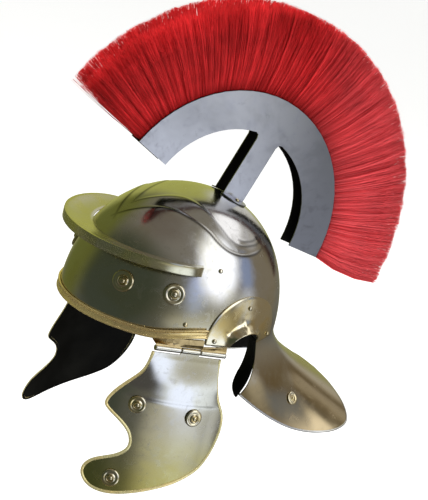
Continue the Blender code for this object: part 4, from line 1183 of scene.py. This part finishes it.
class HELMET_OT_plume(bpy.types.Operator):
    """Brush of red bristles round a dark core"""
    bl_idname = "helmet.plume"
    bl_label = "Plume"

    def execute(self, context):
        self.core()
        count = sizes().bristles
        edges = np.linspace(0.0, 1.0, 6)
        for number in range(5):
            self.tufts(number + 1, count, edges[number], edges[number + 1])
        return {"FINISHED"}

    def core(self):
        front = math.radians(CREST_FRONT_ANGLE + 1.8)
        rear = math.radians(CREST_REAR_ANGLE - 1.8)
        root = CREST_OUTER - BLOCK_TOP + 0.4 * MM
        neck = CREST_SPREAD / 2 - CREST_SHEET - 1.0 * MM
        wide = PLUME_SPREAD / 2 * 0.62
        tip = PLUME_RADIUS - 13 * MM

        def around(u, v):
            angle = front + (rear - front) * u
            radius = root + (tip - root) * (0.5 - 0.5 * np.cos(2.0 * math.pi * v))
            share = np.clip((radius - CREST_OUTER) / (tip - CREST_OUTER), 0.0, 1.0)
            half = neck + (wide - neck) * share * (2.0 - share)
            half = half * np.clip((1.0 - share) / 0.10, 0.0, 1.0) ** 0.5
            ripple = 1.0 + share * (0.05 * np.sin(71.0 * angle) + 0.04 * np.sin(163.0 * angle + 1.0))
            return crest_points(np.where(v <= 0.5, 1.0, -1.0) * half * ripple, angle, radius)

        core = grid_piece("plume_core", 180, 28, around)
        layer = core.data.uv_layers.active or core.data.uv_layers.new(name="strand")
        layer.name = "strand"
        smooth(close_ends(merge_doubles(core, 0.02 * MM)), 60.0)
        finish_piece(core, "helmet", finish("bristle_core"), ["plume"])

    def strand(self):
        """One bristle: a three-sided cone with loops along it, a unit long."""
        deselect()
        bpy.ops.mesh.primitive_cone_add(vertices=3, radius1=1.0, radius2=0.35, depth=1.0,
                                        end_fill_type="TRIFAN", location=(0.0, 0.0, 0.5))
        obj = settle(named(bpy.context.object, "strand"))
        bpy.ops.object.mode_set(mode="EDIT")
        for height in (0.35, 0.7):
            bpy.ops.mesh.select_all(action="SELECT")
            bpy.ops.mesh.bisect(plane_co=(0.0, 0.0, height), plane_no=(0.0, 0.0, 1.0))
        bpy.ops.mesh.select_all(action="SELECT")
        bpy.ops.mesh.quads_convert_to_tris()
        bpy.ops.object.mode_set(mode="OBJECT")
        points = get_points(obj)
        faces = np.array([list(face.vertices) for face in obj.data.polygons])
        bpy.data.objects.remove(obj)
        return points, faces

    def tufts(self, number, count, low, high):
        points, faces = self.strand()
        random = np.random.default_rng(40 + number)
        front = math.radians(CREST_FRONT_ANGLE + 0.4)
        rear = math.radians(CREST_REAR_ANGLE - 0.4)
        share = np.linspace(low, high, count, endpoint=False)
        share = share + random.uniform(0, (high - low) / 12, count)
        angle = front + (rear - front) * np.clip(share, 0.0, 1.0)
        across = random.uniform(-1.0, 1.0, count)
        across = np.sign(across) * np.abs(across) ** 0.38
        lock = np.sin(angle * 49.0 + 1.3 * np.sin(angle * 17.0)) * 0.5 + np.sin(angle * 113.0) * 0.3
        neck = CREST_SPREAD / 2 - CREST_SHEET - 0.8 * MM
        root = CREST_OUTER - 3.2 * MM + random.uniform(0.0, 2.0 * MM, count)
        spread = PLUME_SPREAD / 2 * (0.94 + 0.06 * lock) * across
        tip = PLUME_RADIUS - random.gamma(1.5, 1.0, count) * MM - 1.2 * MM * (1.0 - lock)
        tip = tip - 5.0 * MM * np.abs(across) ** 6
        drift = random.normal(0.0, math.radians(0.7), count) - math.radians(0.35) * np.cos(angle * 49.0)
        swell = (math.radians(1.8) * np.exp(-(rear - angle) / math.radians(7.0))
                 - math.radians(0.4) * np.exp(-(angle - front) / math.radians(7.0)))
        knee_turn = np.clip(angle + 0.35 * drift, front, rear) + swell
        tip_turn = np.clip(angle + drift, front - 0.004, rear + 0.004)
        start = crest_points(neck * across, angle, root)
        knee = crest_points(0.80 * spread + 0.20 * neck * across, knee_turn, root + 0.5 * (tip - root))
        end = crest_points(spread * (1.0 - 0.08 * np.abs(across) ** 4), tip_turn, tip)
        thick = sizes().bristle_radius * random.uniform(0.75, 1.25, count)
        t = points[:, 2][None, :, None]
        bend = 2 * knee - 0.5 * (start + end)
        path = (1 - t) ** 2 * start[:, None] + 2 * t * (1 - t) * bend[:, None] + t * t * end[:, None]
        run = unit(end - start)
        side = unit(np.cross(run, np.tile((1.0, 0.0, 0.0), (count, 1))))
        other = np.cross(run, side)
        roll = random.uniform(0.0, 2.0 * math.pi, count)
        cos, sin = np.cos(roll)[:, None], np.sin(roll)[:, None]
        side, other = side * cos + other * sin, other * cos - side * sin
        ring = points[:, 0][None, :, None] * side[:, None] + points[:, 1][None, :, None] * other[:, None]
        placed = (path + ring * thick[:, None, None]).reshape(-1, 3)
        joined = (faces[None] + (np.arange(count) * len(points))[:, None, None]).reshape(-1, 3)
        mesh = bpy.data.meshes.new(f"bristles_{number}")
        mesh.vertices.add(len(placed))
        mesh.vertices.foreach_set("co", placed.astype(np.float32).ravel())
        mesh.loops.add(joined.size)
        mesh.loops.foreach_set("vertex_index", joined.astype(np.int32).ravel())
        mesh.polygons.add(len(joined))
        mesh.polygons.foreach_set("loop_start", np.arange(0, joined.size, 3, dtype=np.int32))
        streak = 0.20 * np.sin(angle * 211.0 + 2.0 * np.sin(angle * 37.0)) + 0.14 * np.sin(angle * 97.0)
        tone = np.clip(random.normal(0.48, 0.20, count) + streak + 0.12 * lock, 0.0, 1.0)
        strand_of = np.repeat(np.arange(count), len(faces) * 3)
        length = points[:, 2][np.tile(faces.ravel(), count)]
        layer = mesh.uv_layers.new(name="strand")
        layout = np.stack((tone[strand_of], length), axis=1)
        layer.data.foreach_set("uv", layout.astype(np.float32).ravel())
        mesh.update()
        mesh.validate()
        mesh.shade_smooth()
        obj = bpy.data.objects.new(f"bristles_{number}", mesh)
        bpy.context.scene.collection.objects.link(obj)
        obj.visible_glossy = False
        finish_piece(obj, "helmet", finish("red_bristle"))


class HELMET_OT_stage(bpy.types.Operator):
    """Pale floor, soft studio light and the camera"""
    bl_idname = "helmet.stage"
    bl_label = "Stage"

    def execute(self, context):
        stage = context.scene.helmet_stage
        self.floor(stage)
        self.world()
        self.lights()
        camera = bpy.data.objects.new("camera", bpy.data.cameras.new("camera"))
        context.scene.collection.objects.link(camera)
        right = Vector((0.45941119, 0.85429226, 0.2431586))
        up = Vector((-0.38818451, -0.05312187, 0.92004937))
        back = Vector((0.79890809, -0.51707138, 0.30721824))
        matrix = Matrix((right, up, back)).transposed().to_4x4()
        matrix.translation = Vector(stage.camera_place)
        camera.matrix_world = matrix
        camera.data.lens = stage.lens
        camera.data.sensor_width = 36.0
        camera.data.clip_start = 0.05
        camera.data.clip_end = 100.0
        context.scene.camera = camera
        context.scene.view_settings.view_transform = "Standard"
        return {"FINISHED"}

    def floor(self, stage):
        deselect()
        bpy.ops.mesh.primitive_plane_add(size=24.0, location=(0.0, 0.0, -stage.floor_drop))
        floor = settle(named(bpy.context.object, "floor"))
        material, nodes, place = new_material("pale_floor")
        tone = nodes.blend(nodes.noise(place, 2.0, 2.0), shade("backdrop"), shade("backdrop", 0.97))
        nodes.finish(Base_Color=tone, Roughness=0.8, Emission_Color=(1.0, 1.0, 0.99, 1.0),
                     Emission_Strength=0.62)
        floor.data.materials.append(material)
        floor.visible_glossy = False

    def world(self):
        """Plain pale backdrop; in the metal, a room with bright openings and dark walls."""
        world = bpy.data.worlds.new("studio")
        bpy.context.scene.world = world
        world.use_nodes = True
        tree = world.node_tree
        nodes = Nodes(tree)
        direction = nodes.add("ShaderNodeTexCoord").outputs["Generated"]
        height = nodes.part(direction, "Z")
        elevation = nodes.math("ARCSINE", height)
        room = nodes.blend(nodes.spread(height, -0.55, -0.10), ROOM_BELOW, ROOM_LEVEL)
        room = nodes.blend(nodes.spread(height, 0.30, 0.80), room, ROOM_ABOVE)
        for (turn, rise), (wide, high), soft, tone in ROOM_PATCHES:
            angle = math.radians(turn)
            ahead = self.along(nodes, direction, (math.sin(angle), -math.cos(angle), 0.0))
            aside = self.along(nodes, direction, (math.cos(angle), math.sin(angle), 0.0))
            across = nodes.math("DIVIDE", nodes.math("ARCTAN2", aside, ahead), math.radians(wide))
            above = nodes.math("SUBTRACT", elevation, math.radians(rise))
            above = nodes.math("DIVIDE", above, math.radians(high))
            place = nodes.add("ShaderNodeCombineXYZ", {"X": across, "Y": above}).outputs[0]
            away = nodes.add("ShaderNodeVectorMath", {0: place}, operation="LENGTH").outputs["Value"]
            room = nodes.blend(nodes.spread(away, 1.0 - soft, 1.0 + soft, 1.0, 0.0), room, tone)
        background = tree.nodes["Background"]
        tree.links.new(room, background.inputs["Color"])
        background.inputs["Strength"].default_value = 1.0
        rays = nodes.add("ShaderNodeLightPath").outputs
        glow = nodes.spread(rays["Is Camera Ray"], 0.0, 1.0, 0.30, 1.0)
        pale = nodes.add("ShaderNodeBackground", {"Color": (*shade("backdrop"), 1.0), "Strength": glow})
        ray = nodes.math("MAXIMUM", rays["Is Camera Ray"], rays["Is Diffuse Ray"])
        mix = nodes.add("ShaderNodeMixShader", {0: ray})
        tree.links.new(background.outputs[0], mix.inputs[1])
        tree.links.new(pale.outputs[0], mix.inputs[2])
        tree.links.new(mix.outputs[0], tree.nodes["World Output"].inputs["Surface"])

    def along(self, nodes, direction, aim):
        return nodes.add("ShaderNodeVectorMath", {0: direction, 1: aim},
                         operation="DOT_PRODUCT").outputs["Value"]

    def lights(self):
        for name, place, size, power, tone in STUDIO_LIGHTS:
            lamp = bpy.data.lights.new(name, "AREA")
            lamp.shape = "RECTANGLE"
            lamp.size, lamp.size_y = size
            lamp.energy = power
            lamp.color = tone
            obj = bpy.data.objects.new(name, lamp)
            bpy.context.scene.collection.objects.link(obj)
            aim = Vector((0.0, 0.0, 0.08)) - Vector(place)
            obj.location = place
            obj.rotation_euler = aim.to_track_quat("-Z", "Y").to_euler()
            obj.visible_glossy = False


# The room that the metal mirrors, below it, level with it and above it.
ROOM_BELOW = (0.085, 0.08, 0.07)
ROOM_LEVEL = (0.19, 0.18, 0.145)
ROOM_ABOVE = (0.22, 0.20, 0.165)

# Openings, walls and furniture in that room: azimuth from the front towards the left and elevation, half width and
# half height, softness of the edge, colour.
ROOM_PATCHES = (
    ((10, 10), (62, 42), 0.35, (0.055, 0.064, 0.042)),
    ((15, 70), (60, 14), 0.50, (0.17, 0.145, 0.115)),
    ((-70, 10), (34, 42), 0.40, (0.14, 0.15, 0.035)),
    ((-118, 18), (24, 40), 0.40, (0.46, 0.47, 0.13)),
    ((-142, 22), (14, 22), 0.40, (0.66, 0.65, 0.62)),
    ((172, 8), (36, 30), 0.35, (0.22, 0.185, 0.13)),
    ((-176, 28), (16, 7), 0.50, (0.54, 0.53, 0.54)),
    ((-178, 49), (32, 12), 0.40, (1.35, 1.35, 1.40)),
    ((152, 17), (9, 12), 0.50, (0.27, 0.33, 0.50)),
    ((148, 0), (10, 7), 0.50, (0.66, 0.68, 0.72)),
    ((97, 12), (9, 16), 0.50, (0.50, 0.58, 0.84)),
    ((121, 33), (21, 28), 0.35, (1.75, 1.80, 1.95)),
    ((104, -10), (30, 7), 0.30, (0.58, 0.555, 0.42)),
    ((110, -24), (26, 11), 0.35, (1.25, 1.36, 1.60)),
)

# Name, place, size, watts and colour of the studio's soft boxes.
STUDIO_LIGHTS = (
    ("key", (0.5, -1.1, 2.3), (1.1, 1.1), 78.0, (1.0, 0.99, 0.97)),
    ("fill", (1.7, 1.3, 0.0), (0.8, 1.0), 20.0, (1.0, 0.98, 0.98)),
    ("back", (-1.8, 1.2, 1.8), (1.4, 1.2), 8.0, (1.0, 1.0, 0.98)),
)


class HELMET_PT_panel(bpy.types.Panel):
    """Sidebar panel that lists the helmet's pieces"""
    bl_idname = "HELMET_PT_panel"
    bl_label = "Legionary Helmet"
    bl_space_type = "VIEW_3D"
    bl_region_type = "UI"
    bl_category = "Helmet"

    def draw(self, context):
        layout = self.layout
        scene = context.scene
        for group in (scene.helmet_sizes, scene.helmet_colours, scene.helmet_stage):
            box = layout.box()
            for name in group.__annotations__:
                box.prop(group, name)
        for operator in PIECES:
            layout.operator(operator.bl_idname)


PIECES = (
    HELMET_OT_skull, HELMET_OT_nape_returns, HELMET_OT_neck_bead, HELMET_OT_brow_peak,
    HELMET_OT_brow_band, HELMET_OT_ear_guards, HELMET_OT_hinges, HELMET_OT_cheek_plates,
    HELMET_OT_bosses, HELMET_OT_crest_holder, HELMET_OT_plume, HELMET_OT_stage,
)
CLASSES = (HelmetSizes, HelmetColours, HelmetStage, *PIECES, HELMET_PT_panel)


def register():
    for item in CLASSES:
        bpy.utils.register_class(item)
    bpy.types.Scene.helmet_sizes = bpy.props.PointerProperty(type=HelmetSizes)
    bpy.types.Scene.helmet_colours = bpy.props.PointerProperty(type=HelmetColours)
    bpy.types.Scene.helmet_stage = bpy.props.PointerProperty(type=HelmetStage)


def unregister():
    del bpy.types.Scene.helmet_stage
    del bpy.types.Scene.helmet_colours
    del bpy.types.Scene.helmet_sizes
    for item in reversed(CLASSES):
        bpy.utils.unregister_class(item)


def main():
    register()
    bpy.ops.helmet.stage()
    bpy.ops.helmet.skull()
    bpy.ops.helmet.nape_returns()
    bpy.ops.helmet.neck_bead()
    bpy.ops.helmet.brow_peak()
    bpy.ops.helmet.brow_band()
    bpy.ops.helmet.ear_guards()
    bpy.ops.helmet.hinges()
    bpy.ops.helmet.cheek_plates()
    bpy.ops.helmet.bosses()
    bpy.ops.helmet.crest_holder()
    bpy.ops.helmet.plume()


if __name__ == "__main__":
    main()
